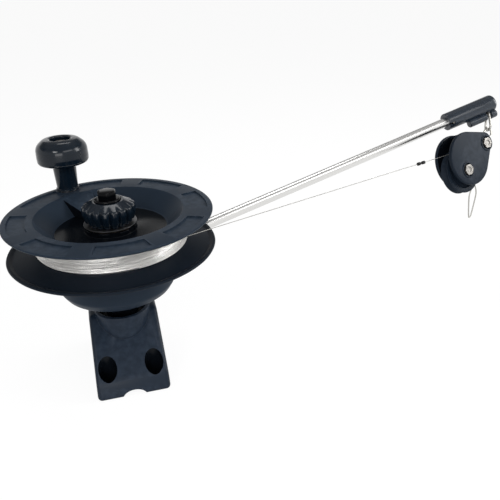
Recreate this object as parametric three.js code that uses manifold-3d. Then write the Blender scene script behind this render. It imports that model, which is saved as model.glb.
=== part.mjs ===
import * as THREE from 'three';
import { mergeVertices } from 'three/addons/utils/BufferGeometryUtils.js';
import Module from 'manifold-3d';

// Manual downrigger: a reel on a vertical shaft, a boom with a swinging pulley block and a
// wedge-shaped deck bracket. Millimetres, +Z up the reel's shaft, +X along the boom seen from above,
// origin on the shaft's axis at the bracket's underside.

const wasm = await Module();
wasm.setup();

// Counts of flat faces and steps
const reelSides = 40;
const postSides = 28;
const pipeSides = 16;
const turnedSides = 12;
const holeSides = 10;
const hexSides = 6;
const wireSides = 6;
const wireSteps = 24;
const wireBendSteps = 8;
const crankSides = 24;
const pocketSteps = 4;
const cheekSteps = 9;

// Driving dimensions shared by all pieces
const gap = 0.3;
const overrun = 5;
const mergeDistance = 1e-4;
const bite = 1;
const degree = Math.PI / 180;

// Bracket
const bracketWidth = 74;
const bracketFlare = 4;
const bracketHeight = 80;
const bracketShoulderDrop = 4;
const bracketFrontY = -71;
const bracketNoseTopY = -65;
const bracketNoseHeight = 20;
const bracketBackY = 36;
const bracketFootLength = 20;
const bracketFootHeight = 12;
const bracketWall = 5;
const bracketEdge = 2;
const bracketTurn = -5 * degree;
const barrelWall = 3.8;
const barrelLip = 1.2;
const socketRadius = 28;
const socketFloor = 12;
const deckHoleX = 26;
const deckHoleFrontY = -53;
const deckHoleRadius = 4.2;
const deckCounterbore = 9.5;
const deckSeatHeight = 9;
const rearCounterbore = 8;
const rearSeatHeight = 8;
const archRadius = 13;
const archHeight = 7.5;
const archDepth = 14;

// Post and frame cup
const postSink = 8;
const postBore = 21;
const postCap = 9;
const neckRadius = 18;
const neckRise = 20;
const shaftRadius = 8;
const cupRadius = 63;
const cupBottomRadius = 58;
const cupHeight = 58.2;
const cupWall = 3.6;
const cupFloorThickness = 3;
const cupFlareHeight = 12;
const cupCorner = 4.5;
const frameScrewCount = 4;
const frameScrewCircle = 12.5;
const frameScrewRadius = 2;
const frameScrewHead = 3.6;
const frameScrewHeadHeight = 2.6;
const frameScrewLength = 15;

// Boom
const boomOffsetY = 40;
const boomHeightShare = 0.24;
const boomRise = 14.6 * degree;
const boomRadius = 6.5;
const boomWall = 1.2;
const boomInnerEnd = -26;
const boomTubeLength = 572;
const boomSocketStart = -32;
const boomSocketEnd = 84;
const boomSocketRadius = 11;
const boomFlatDepth = 1;
const boomFlatMargin = 1.5;
const boomBoltAt = 18;
const boomBoltRadius = 2.5;
const boomBoltHead = 4.4;
const boomBoltHeadHeight = 3;
const boltPoint = 1;
const sleeveRadius = 10.8;
const sleeveStart = 480;
const sleeveLength = 78;
const sleeveNose = 4.5;
const sleeveEdge = 1;
const sleeveBoreDepth = 66;
const sleeveSlotWidth = 3.4;
const sleeveSlotLength = 6;
const lugRadius = 5.3;
const lugLength = 44;
const lugInset = 4.5;
const lugOffsetY = -10;
const lugOffsetZ = -11.5;
const lugSlotFromEnd = 9;
const lugSlotWidth = 7.6;
const lugSlotRadius = 6.5;
const linkPinRadius = 1.6;
const linkPinLength = 23;
const linkPinFromEnd = 2;
const sleevePinFromStart = 6.5;
const sleevePinRadius = 1.5;

// Reel
const rimRadius = 115;
const rimEdge = 2.4;
const rimBevel = 1;
const bandWidth = 31;
const bandThickness = 4.5;
const bandStep = 2;
const pocketCount = 8;
const pocketMargin = 6.5;
const pocketDepth = 1.5;
const pocketArc = 31 * degree;
const pocketPhase = 43 * degree;
const dishDepth = 17;
const dishSlopeRun = 22;
const dishThickness = 3;
const hubRadius = 28.5;
const hubHeight = 5;
const hubRecessCount = 8;
const hubRecessDepth = 1.4;
const rimClearance = 1.5;
const reelWidth = 15;
const lowerRimStep = 1;
const lowerDish = 4;
const lowerFlangeThickness = 3;
const lowerLipHeight = 1.6;
const coreInset = 2;
const coreWall = 6;
const lowerHubRadius = 24;
const lowerHubDrop = 10.7;
const bushRadius = 12;
const bushBore = 8.3;
const spoolScrewCount = 4;
const spoolScrewBoss = 6;
const spoolScrewRadius = 2.2;
const spoolScrewHead = 4;
const spoolScrewHeadHeight = 2.4;
const armArc = 27 * degree;
const armSteps = 4;

// Winding and cable
const windingInset = 1;
const windingLayers = 1.5;
const windingLoops = 8;
const windingPitch = 2.1;
const windingSteps = 24;
const windingSides = 6;
const windingStart = 1.1;
const cableRadius = 0.4;
const cableSides = 8;
const cableLift = 19.8;
const stopShare = 0.862;
const stopLength = 12.6;
const stopWaist = 3.2;
const stopEase = 1.3;
const stopRadius = 2.1;
const stopNeck = 1.1;
const tailSteps = 14;

// Brake
const shaftFlangeRadius = 16.5;
const shaftFlangeThickness = 3.7;
const shaftTrunkRadius = 8.5;
const shaftCollarRadius = 23;
const shaftCollarThickness = 4;
const threadRadius = 6;
const liningThickness = 1.5;
const liningOuter = 22;
const upperLiningOuter = 27;
const plateRadius = 29;
const plateThickness = 1.2;
const springThickness = 1.4;
const springOuter = 17;
const knobRadius = 29;
const knobLobes = 18;
const lobeSteps = 4;
const lobeDepthShare = 0.09;
const knobHeight = 25;
const knobSkirtRadius = 24;
const knobSkirtHeight = 2.6;
const knobBaseInset = 1.4;
const knobShoulder = 4.4;
const knobTopRadius = 17;
const knobRecessRadius = 14.2;
const knobRecessDepth = 3.2;
const insertRadius = 9;
const brakeTravel = 1.5;
const capCollarRadius = 13.2;
const capCollarHeight = 4.7;
const capHexRadius = 11.4;
const capHexHeight = 7;

// Crank
const crankInset = 14.5;
const crankAngle = 110 * degree;
const crankBoss = 14;
const crankWasher = 1;
const crankHeight = 64;
const crankCollarRadius = 12.4;
const crankCollarHeight = 2.4;
const crankStemBase = 11.4;
const crankStemTop = 12.8;
const crankCapRadius = 29;
const crankCapHeight = 33;
const crankShoulder = 9;
const crankRecess = 11.6;
const crankRecessDepth = 8;
const crankBoltRadius = 4;
const crankBoltHead = 7.5;
const crankBoltHeadHeight = 3.6;

// Pulley block
const hangerShift = { x: -24.2, y: -16, z: -33.5 };
const blockYaw = 12 * degree;
const blockRoll = -24 * degree;
const blockLean = 58.4 * degree;
const axleDistance = 53.4;
const cheekCentreAside = 8;
const cheekCentreAlong = 34.8;
const cheekRadius = 36.5;
const lobeRadius = 10;
const cheekThickness = 5;
const cheekGap = 9.5;
const webStart = 102 * degree;
const webEnd = 150 * degree;
const webThickness = 2.6;
const sheaveRadius = 29;
const sheaveWidth = 11;
const sheaveEdge = 0.8;
const sheaveHubWidth = 4;
const sheaveRimWidth = 2;
const sheaveWebRun = 2;
const sheaveWebSink = 1.6;
const grooveRadius = 25;
const grooveWidth = 2.4;
const sheaveBush = 6.3;
const axleRadius = 4;
const hangerBoltRadius = 3.2;
const spacerWall = 2.1;
const blockBoltHead = 6.6;
const blockBoltHeadHeight = 4.2;
const blockSeatRadius = 8;
const blockSeatDepth = 2.2;
const seatRibWidth = 1.5;
const seatRibHeight = 0.8;
const tailDrop = 15;
const linkWire = 1.5;
const linkHalfWidth = 6;
const eyeWire = 1.4;
const eyeLength = 30.2;
const eyeAngle = 32.9 * degree;
const eyeShift = -4.4;
const eyeHalfWidth = 6;

// Snap
const snapLength = 56;
const snapHalfWidth = 4.6;
const snapWire = 0.8;
const crimpRadius = 1.6;
const crimpLength = 8;

// Sizes, levels and places that follow from the driving dimensions
const barrelRadius = socketRadius + barrelWall;
const bracketShoulderHeight = bracketHeight - bracketShoulderDrop;
const postShoulder = bracketHeight - postSink;
const postTop = bracketHeight + neckRise;
const cupBottom = postTop + gap;
const cupTop = cupBottom + cupHeight;
const boomAxisHeight = cupBottom + boomHeightShare * cupHeight;
const lowerFlangeInner = cupTop + rimClearance + lowerFlangeThickness;
const lowerRimHeight = lowerFlangeInner - lowerDish;
const lowerHubBottom = lowerFlangeInner - lowerFlangeThickness - lowerHubDrop;
const dishFloorHeight = lowerFlangeInner + reelWidth;
const rimHeight = dishFloorHeight + dishDepth;
const hubTop = dishFloorHeight + hubHeight;
const lowerRimRadius = rimRadius - lowerRimStep;
const bandInner = rimRadius - bandWidth;
const pocketOuter = rimRadius - pocketMargin;
const pocketInner = bandInner + pocketMargin;
const dishFloorRadius = bandInner - dishSlopeRun;
const coreRadius = dishFloorRadius - coreInset;
const spoolScrewCircle = coreRadius - coreWall - spoolScrewBoss;
const armInner = hubRadius - bite;
const armOuter = bandInner + bandStep;
const windingRadius = bandInner - windingInset;
const windingCoreRadius = windingRadius - windingLayers;
const shaftFlangeBottom = cupBottom + cupFloorThickness + gap;
const shaftFlangeTop = shaftFlangeBottom + shaftFlangeThickness;
const lowerLiningTop = lowerHubBottom - gap;
const shaftCollarTop = lowerLiningTop - liningThickness - gap;
const upperLiningBottom = hubTop + gap;
const plateBottom = upperLiningBottom + liningThickness + gap;
const springBottom = plateBottom + plateThickness + gap;
const knobBottom = plateBottom + plateThickness + gap;
const knobTop = knobBottom + knobHeight;
const capBottom = knobTop - knobRecessDepth + brakeTravel + gap;
const shaftTop = capBottom + capCollarHeight + capHexHeight / 2;
const sleeveEnd = sleeveStart + sleeveLength;
const sleevePinAt = sleeveStart + sleevePinFromStart;
const lugEnd = sleeveEnd - lugInset;
const lugSlotMiddle = lugEnd - lugSlotFromEnd - lugSlotWidth / 2;
const pinPlace = new THREE.Vector3(lugSlotMiddle, lugOffsetY, lugOffsetZ).applyMatrix4(boomMatrix());
const axleInBlock = new THREE.Vector3(
  -axleDistance * Math.sin(blockLean), 0, -axleDistance * Math.cos(blockLean),
);
const blockMatrix = new THREE.Matrix4()
  .makeRotationFromEuler(new THREE.Euler(blockRoll, 0, blockYaw, 'ZXY'))
  .setPosition(pinPlace.x + hangerShift.x, pinPlace.y + hangerShift.y, pinPlace.z + hangerShift.z);
const axlePlace = axleInBlock.clone().applyMatrix4(blockMatrix);
const axleReach = Math.hypot(axlePlace.x, axlePlace.y);
const leaveAngle = Math.atan2(axlePlace.y, axlePlace.x) - Math.acos(windingRadius / axleReach);
const crankRadius = rimRadius - crankInset;
const crankPlace = new THREE.Vector3(
  crankRadius * Math.cos(crankAngle), crankRadius * Math.sin(crankAngle), rimHeight,
);

// Materials
const plastic = new THREE.MeshStandardMaterial({ color: 0x2b323b, roughness: 0.5, metalness: 0 });
const steel = new THREE.MeshStandardMaterial({ color: 0xd4d4d0, roughness: 0.25, metalness: 1 });
const cable = new THREE.MeshStandardMaterial({ color: 0xb9b8b2, roughness: 0.35, metalness: 1 });
const lining = new THREE.MeshStandardMaterial({ color: 0x4b4038, roughness: 0.9, metalness: 0 });
const bronze = new THREE.MeshStandardMaterial({ color: 0xb08a50, roughness: 0.4, metalness: 1 });
const rubber = new THREE.MeshStandardMaterial({ color: 0x17191c, roughness: 0.7, metalness: 0 });

// Solids from geometry

function signedVolume(positions, triangles) {
  const a = new THREE.Vector3();
  const b = new THREE.Vector3();
  const c = new THREE.Vector3();
  let volume = 0;
  for (let i = 0; i < triangles.length; i += 3) {
    a.fromArray(positions, 3 * triangles[i]);
    b.fromArray(positions, 3 * triangles[i + 1]);
    c.fromArray(positions, 3 * triangles[i + 2]);
    volume += a.dot(b.cross(c)) / 6;
  }
  return volume;
}

function solid(geometry) {
  const bare = geometry.clone();
  bare.deleteAttribute('normal');
  bare.deleteAttribute('uv');
  const merged = mergeVertices(bare, mergeDistance);
  const vertProperties = new Float32Array(merged.attributes.position.array);
  const triVerts = new Uint32Array(merged.index.array);
  if (signedVolume(vertProperties, triVerts) < 0) {
    for (let i = 0; i < triVerts.length; i += 3) {
      [triVerts[i], triVerts[i + 1]] = [triVerts[i + 1], triVerts[i]];
    }
  }
  const mesh = new wasm.Mesh({ numProp: 3, vertProperties, triVerts });
  mesh.merge();
  return new wasm.Manifold(mesh);
}

function geometryOf(manifold) {
  const mesh = manifold.getMesh();
  const geometry = new THREE.BufferGeometry();
  geometry.setAttribute('position', new THREE.BufferAttribute(new Float32Array(mesh.vertProperties), 3));
  geometry.setIndex(new THREE.BufferAttribute(new Uint32Array(mesh.triVerts), 1));
  geometry.computeVertexNormals();
  return geometry;
}

// A closed profile of [radius, height] pairs turned about Z
function turned(profile, sides) {
  const points = profile.map(([r, z]) => new THREE.Vector2(r, z));
  points.push(points[0].clone());
  return new THREE.LatheGeometry(points, sides).rotateX(Math.PI / 2);
}

function disc(radius, bottom, top, sides = turnedSides) {
  return turned([[0, bottom], [radius, bottom], [radius, top], [0, top]], sides);
}

function ring(inner, outer, bottom, top, sides = turnedSides) {
  return turned([[inner, bottom], [outer, bottom], [outer, top], [inner, top]], sides);
}

function hexagon(radius, bottom, top) {
  return disc(radius, bottom, top, hexSides);
}

function prism(shape, bottom, top, options = {}) {
  const settings = { depth: top - bottom, bevelEnabled: false, curveSegments: turnedSides, ...options };
  return new THREE.ExtrudeGeometry(shape, settings).translate(0, 0, bottom);
}

function outline(points) {
  return new THREE.Shape(points.map(([x, y]) => new THREE.Vector2(x, y)));
}

// Puts a drawing of (y, z) points upright and runs it along X
function runAlongX(geometry) {
  const upright = new THREE.Matrix4().makeBasis(
    new THREE.Vector3(0, 1, 0), new THREE.Vector3(0, 0, 1), new THREE.Vector3(1, 0, 0),
  );
  return geometry.applyMatrix4(upright);
}

// Puts a drawing of (x, z) points upright and runs it towards -Y
function runAlongY(geometry) {
  return geometry.rotateX(Math.PI / 2);
}

function tube(curve, radius, steps, sides) {
  const circle = [];
  for (let i = 0; i < sides; i += 1) {
    const angle = (i * 2 * Math.PI) / sides;
    circle.push([radius * Math.cos(angle), radius * Math.sin(angle)]);
  }
  return new THREE.ExtrudeGeometry(outline(circle), {
    steps, bevelEnabled: false, extrudePath: curve,
  });
}

// A closed wire ring as rings of points round a closed curve
function closedWire(curve, radius, steps, sides, normal) {
  const positions = [];
  const index = [];
  for (let i = 0; i < steps; i += 1) {
    const share = i / steps;
    const centre = curve.getPoint(share);
    const tangent = curve.getTangent(share);
    const across = new THREE.Vector3().crossVectors(tangent, normal).normalize();
    for (let j = 0; j < sides; j += 1) {
      const angle = (j * 2 * Math.PI) / sides;
      positions.push(...centre.clone()
        .addScaledVector(across, radius * Math.cos(angle))
        .addScaledVector(normal, radius * Math.sin(angle)));
      const next = (j + 1) % sides;
      const here = i * sides;
      const ahead = ((i + 1) % steps) * sides;
      index.push(here + j, ahead + j, here + next, here + next, ahead + j, ahead + next);
    }
  }
  const geometry = new THREE.BufferGeometry();
  geometry.setAttribute('position', new THREE.Float32BufferAttribute(positions, 3));
  geometry.setIndex(index);
  return geometry;
}

const assembly = new THREE.Group();

function addPart(name, shape, material, parent = assembly) {
  const geometry = shape.isBufferGeometry ? geometryOf(solid(shape)) : geometryOf(shape);
  const mesh = new THREE.Mesh(geometry, material);
  mesh.name = name;
  parent.add(mesh);
  return mesh;
}

// Bracket: a hollow wedge with a round post socket and four deck screw holes

function makeBracket() {
  const slopeRun = bracketShoulderHeight - bracketNoseHeight;
  const shoulderY = bracketNoseTopY + slopeRun;
  const footEndY = bracketBackY + bracketFootLength;
  const half = bracketWidth / 2;
  const side = outline([
    [bracketFrontY, 0],
    [bracketNoseTopY, bracketNoseHeight],
    [shoulderY, bracketShoulderHeight],
    [bracketBackY - bracketWall, bracketShoulderHeight],
    [bracketBackY, bracketShoulderHeight - bracketWall],
    [bracketBackY, bracketFootHeight],
    [footEndY, bracketFootHeight],
    [footEndY, 0],
  ]);
  const wedge = runAlongX(prism(side, -half + bracketEdge, half - bracketEdge, {
    bevelEnabled: true,
    bevelThickness: bracketEdge,
    bevelSize: bracketEdge,
    bevelOffset: -bracketEdge,
    bevelSegments: 1,
  }));
  const slopeDrop = bracketWall * Math.SQRT2;
  const insideFrontY = bracketFrontY + 2 * bracketWall;
  const insideTop = bracketShoulderHeight - bracketWall;
  const slopeAt = (y) => bracketNoseHeight + (y - bracketNoseTopY) - slopeDrop;
  const hollowSide = outline([
    [insideFrontY, -overrun],
    [insideFrontY, slopeAt(insideFrontY)],
    [insideTop - slopeAt(0), insideTop],
    [bracketBackY - bracketWall, insideTop],
    [bracketBackY - bracketWall, -overrun],
  ]);
  const barrel = turned([
    [0, 0],
    [barrelRadius, 0],
    [barrelRadius, bracketHeight - barrelLip],
    [barrelRadius - barrelLip, bracketHeight],
    [0, bracketHeight],
  ], postSides);
  let hollow = solid(runAlongX(prism(hollowSide, -half + bracketWall, half - bracketWall)));
  hollow = hollow.subtract(solid(disc(barrelRadius, -2 * overrun, bracketHeight, postSides)));
  const rib = new THREE.BoxGeometry(bracketWall, 2 * bracketHeight, 2 * bracketHeight)
    .translate(0, -bracketHeight, 0);
  hollow = hollow.subtract(solid(rib));
  for (const x of [-deckHoleX, deckHoleX]) {
    const boss = disc(deckCounterbore + bracketWall, -2 * overrun, bracketHeight);
    hollow = hollow.subtract(solid(boss.translate(x, deckHoleFrontY, 0)));
  }
  let body = solid(flared(wedge)).subtract(hollow).add(solid(barrel));
  const socketTop = bracketHeight + overrun;
  body = body.subtract(solid(disc(socketRadius, socketFloor, socketTop, postSides)));
  for (const x of [-deckHoleX, deckHoleX]) {
    const footY = bracketBackY + bracketFootLength / 2;
    const seat = disc(deckCounterbore, deckSeatHeight, bracketHeight);
    const hole = disc(deckHoleRadius, -overrun, bracketHeight, holeSides);
    const rearSeat = disc(rearCounterbore, rearSeatHeight, bracketFootHeight + overrun);
    body = body.subtract(solid(seat.translate(x, deckHoleFrontY, 0)));
    body = body.subtract(solid(hole.clone().translate(x, deckHoleFrontY, 0)));
    body = body.subtract(solid(rearSeat.translate(x, footY, 0)));
    body = body.subtract(solid(hole.clone().translate(x, footY, 0)));
  }
  const arch = disc(archRadius, 0, archDepth + overrun, pipeSides).rotateX(Math.PI / 2);
  arch.scale(1, 1, archHeight / archRadius).translate(0, bracketFrontY + archDepth, 0);
  return body.subtract(solid(arch));
}

// The sides lean out towards the deck, by the flare on each side
function flared(geometry) {
  const position = geometry.attributes.position;
  for (let i = 0; i < position.count; i += 1) {
    const depthShare = 1 - position.getZ(i) / bracketHeight;
    const factor = 1 + (2 * bracketFlare * depthShare) / bracketWidth;
    position.setX(i, position.getX(i) * factor);
  }
  return geometry;
}

addPart('mounting_bracket', makeBracket(), plastic).rotation.z = bracketTurn;

// Post: slides in the bracket's socket, hollow from below

function makePost() {
  const inSocket = socketRadius - gap;
  const foot = socketFloor + gap;
  const boreTop = postShoulder - postCap;
  let body = solid(turned([
    [postBore, foot],
    [inSocket - barrelLip, foot],
    [inSocket, foot + barrelLip],
    [inSocket, postShoulder],
    [neckRadius, postShoulder],
    [neckRadius, postTop],
    [0, postTop],
    [0, boreTop],
    [postBore, boreTop],
  ], postSides));
  for (const place of frameScrewPlaces()) {
    const pilotFoot = shaftFlangeTop - frameScrewLength - gap;
    const pilot = disc(frameScrewRadius + gap, pilotFoot, postTop + overrun, holeSides);
    body = body.subtract(solid(pilot.translate(place.x, place.y, 0)));
  }
  return body;
}

function frameScrewPlaces() {
  return circlePlaces(frameScrewCount, frameScrewCircle, Math.PI / frameScrewCount);
}

function circlePlaces(count, radius, phase) {
  const places = [];
  for (let i = 0; i < count; i += 1) {
    const angle = phase + (i * 2 * Math.PI) / count;
    places.push(new THREE.Vector3(radius * Math.cos(angle), radius * Math.sin(angle), 0));
  }
  return places;
}

addPart('mounting_post', makePost(), plastic);

// Boom frame: X along the tube from the shaft's axis, Y level, Z square to the tube

function boomMatrix() {
  const turn = new THREE.Matrix4().makeRotationY(-boomRise);
  return turn.premultiply(new THREE.Matrix4().makeTranslation(0, boomOffsetY, boomAxisHeight));
}

const boomGroup = new THREE.Group();
boomGroup.applyMatrix4(boomMatrix());
assembly.add(boomGroup);

function alongBoom(geometry, y = 0, z = 0) {
  return geometry.rotateY(Math.PI / 2).translate(0, y, z);
}

// Frame cup: a bowl on the post that carries the shaft and the boom's socket

function makeFrameCup() {
  const flareTop = cupBottom + cupFlareHeight;
  const inner = cupRadius - cupWall;
  let body = solid(turned([
    [0, cupBottom],
    [neckRadius, cupBottom],
    [cupBottomRadius, flareTop - cupCorner],
    [cupRadius - gap, flareTop],
    [cupRadius, flareTop + cupCorner],
    [cupRadius, cupTop],
    [inner, cupTop],
    [inner, flareTop + cupCorner],
    [cupBottomRadius - gap, flareTop],
    [neckRadius, cupBottom + cupFloorThickness],
    [0, cupBottom + cupFloorThickness],
  ], postSides));
  const socket = alongBoom(disc(boomSocketRadius, boomSocketStart, boomSocketEnd, pipeSides));
  body = body.add(solid(socket.applyMatrix4(boomMatrix())));
  const boreEnd = boomSocketEnd + overrun;
  const bore = alongBoom(disc(boomRadius + gap, boomInnerEnd - gap, boreEnd, pipeSides));
  body = body.subtract(solid(bore.applyMatrix4(boomMatrix())));
  const hole = disc(boomBoltRadius + gap, -2 * boomSocketRadius, 2 * boomSocketRadius, holeSides);
  body = body.subtract(solid(hole.translate(boomBoltAt, 0, 0).applyMatrix4(boomMatrix())));
  for (const side of [-1, 1]) {
    const across = 2 * boomBoltHead + boomFlatMargin;
    const flat = new THREE.BoxGeometry(across, across, overrun);
    const level = side * (boomSocketRadius - boomFlatDepth + overrun / 2);
    body = body.subtract(solid(flat.translate(boomBoltAt, 0, level).applyMatrix4(boomMatrix())));
  }
  for (const place of frameScrewPlaces()) {
    const clear = disc(frameScrewRadius + gap, cupBottom - overrun, shaftFlangeBottom, holeSides);
    body = body.subtract(solid(clear.translate(place.x, place.y, 0)));
  }
  return body;
}

addPart('frame_cup', makeFrameCup(), plastic);

function makeShaft() {
  const collarBottom = shaftCollarTop - shaftCollarThickness;
  let body = solid(turned([
    [0, shaftFlangeBottom],
    [shaftFlangeRadius, shaftFlangeBottom],
    [shaftFlangeRadius, shaftFlangeTop],
    [shaftTrunkRadius, shaftFlangeTop],
    [shaftTrunkRadius, collarBottom],
    [shaftCollarRadius, collarBottom],
    [shaftCollarRadius, shaftCollarTop],
    [shaftRadius, shaftCollarTop],
    [shaftRadius, hubTop],
    [threadRadius, hubTop],
    [threadRadius, shaftTop],
    [0, shaftTop],
  ], pipeSides));
  for (const place of frameScrewPlaces()) {
    const from = shaftFlangeBottom - overrun;
    const clear = disc(frameScrewRadius + gap, from, shaftFlangeTop + gap, holeSides);
    body = body.subtract(solid(clear.translate(place.x, place.y, 0)));
  }
  return body;
}

addPart('main_shaft', makeShaft(), steel);

frameScrewPlaces().forEach((place, i) => {
  const seat = shaftFlangeTop + gap;
  const screw = turned([
    [0, seat - frameScrewLength],
    [frameScrewRadius, seat - frameScrewLength],
    [frameScrewRadius, seat],
    [frameScrewHead, seat],
    [frameScrewHead, seat + frameScrewHeadHeight],
    [0, seat + frameScrewHeadHeight],
  ], holeSides);
  addPart(`frame_screw_${i + 1}`, screw, steel).position.copy(place);
});

const lowerLiningBottom = lowerLiningTop - liningThickness;
const lowerLining = ring(shaftRadius + gap, liningOuter, lowerLiningBottom, lowerLiningTop);
addPart('lower_brake_lining', lowerLining, lining);

// Boom, its end sleeve and the parts that hold them

function makeBoomTube() {
  const start = boomInnerEnd;
  const end = start + boomTubeLength;
  let body = solid(alongBoom(ring(boomRadius - boomWall, boomRadius, start, end, pipeSides)));
  const boltHole = disc(boomBoltRadius + gap, -2 * boomRadius, 2 * boomRadius, holeSides);
  body = body.subtract(solid(boltHole.translate(boomBoltAt, 0, 0)));
  const pinHole = disc(sleevePinRadius + gap, -2 * boomRadius, 2 * boomRadius, holeSides);
  return body.subtract(solid(pinHole.rotateX(Math.PI / 2).translate(sleevePinAt, 0, 0)));
}

addPart('boom_tube', makeBoomTube(), steel, boomGroup);

function boltProfile(shankRadius, shankLength, headRadius, headHeight) {
  return { shankRadius, shankLength, headRadius, headHeight };
}

// A hex bolt whose head's underside is at zero and whose shank runs down
function makeHexBolt({ shankRadius, shankLength, headRadius, headHeight }) {
  const head = hexagon(headRadius, 0, headHeight);
  const shank = disc(shankRadius, -shankLength, headHeight / 2);
  return solid(head).add(solid(shank));
}

function makeHexNut(radius, bore, height) {
  const hole = disc(bore, -overrun, height + overrun);
  return solid(hexagon(radius, 0, height)).subtract(solid(hole));
}

const boomFlat = boomSocketRadius - boomFlatDepth;
const boomBoltLength = 2 * boomFlat + gap + boomBoltHeadHeight + boltPoint;
const boomBolt = makeHexBolt(
  boltProfile(boomBoltRadius, boomBoltLength, boomBoltHead, boomBoltHeadHeight),
).rotate([180, 0, 0]);
addPart('boom_bolt', boomBolt, steel, boomGroup).position.set(boomBoltAt, 0, -boomFlat - gap);
const boomNut = makeHexNut(boomBoltHead, boomBoltRadius + gap, boomBoltHeadHeight);
addPart('boom_nut', boomNut, steel, boomGroup).position.set(boomBoltAt, 0, boomFlat + gap);

function makeSleeve() {
  const lugStart = lugEnd - lugLength;
  let body = solid(alongBoom(turned([
    [0, sleeveStart],
    [sleeveRadius - sleeveEdge, sleeveStart],
    [sleeveRadius, sleeveStart + sleeveEdge],
    [sleeveRadius, sleeveEnd - sleeveNose],
    [sleeveRadius - sleeveNose / 3, sleeveEnd - sleeveNose / 3],
    [sleeveRadius - sleeveNose, sleeveEnd],
    [0, sleeveEnd],
  ], pipeSides)));
  const lug = alongBoom(turned([
    [0, lugStart],
    [lugRadius - sleeveEdge, lugStart],
    [lugRadius, lugStart + sleeveEdge],
    [lugRadius, lugEnd - sleeveEdge],
    [lugRadius - sleeveEdge, lugEnd],
    [0, lugEnd],
  ], turnedSides), lugOffsetY, lugOffsetZ);
  const join = new THREE.BoxGeometry(lugLength, lugRadius, lugRadius)
    .translate(lugStart + lugLength / 2, lugOffsetY / 2, lugOffsetZ / 2 - lugRadius / 2);
  body = body.add(solid(join)).add(solid(lug));
  body = body.subtract(solid(alongBoom(disc(
    boomRadius + gap, sleeveStart - overrun, sleeveStart + sleeveBoreDepth, pipeSides,
  ))));
  const pinStart = lugEnd - linkPinFromEnd - linkPinLength;
  body = body.subtract(solid(alongBoom(
    disc(linkPinRadius + gap, pinStart - gap, lugEnd + overrun, holeSides), lugOffsetY, lugOffsetZ,
  )));
  const slotEnd = lugEnd - lugSlotFromEnd;
  body = body.subtract(solid(alongBoom(
    disc(lugSlotRadius, slotEnd - lugSlotWidth, slotEnd), lugOffsetY, lugOffsetZ,
  )));
  const slot = new THREE.BoxGeometry(2 * sleeveSlotLength, 2 * sleeveRadius, sleeveSlotWidth);
  slot.translate(sleeveStart, -sleeveRadius, 0);
  body = body.subtract(solid(slot));
  const pinHole = disc(sleevePinRadius + gap, -2 * sleeveRadius, 2 * sleeveRadius, holeSides);
  return body.subtract(solid(pinHole.rotateX(Math.PI / 2).translate(sleevePinAt, 0, 0)));
}

addPart('boom_end_sleeve', makeSleeve(), plastic, boomGroup);
const sleevePinHalf = sleeveRadius - gap;
const sleevePin = disc(sleevePinRadius, -sleevePinHalf, sleevePinHalf, holeSides).rotateX(Math.PI / 2);
addPart('sleeve_pin', sleevePin, steel, boomGroup).position.set(sleevePinAt, 0, 0);
const linkPinEnd = lugEnd - linkPinFromEnd;
const linkPinDisc = disc(linkPinRadius, linkPinEnd - linkPinLength, linkPinEnd, holeSides);
addPart('link_pin', alongBoom(linkPinDisc, lugOffsetY, lugOffsetZ), steel, boomGroup);

// Spool: two dished flanges round a hollow core

function sector(inner, outer, middle, arc) {
  const shape = new THREE.Shape();
  shape.absarc(0, 0, outer, middle - arc / 2, middle + arc / 2, false);
  shape.absarc(0, 0, inner, middle + arc / 2, middle - arc / 2, true);
  return shape;
}

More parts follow.
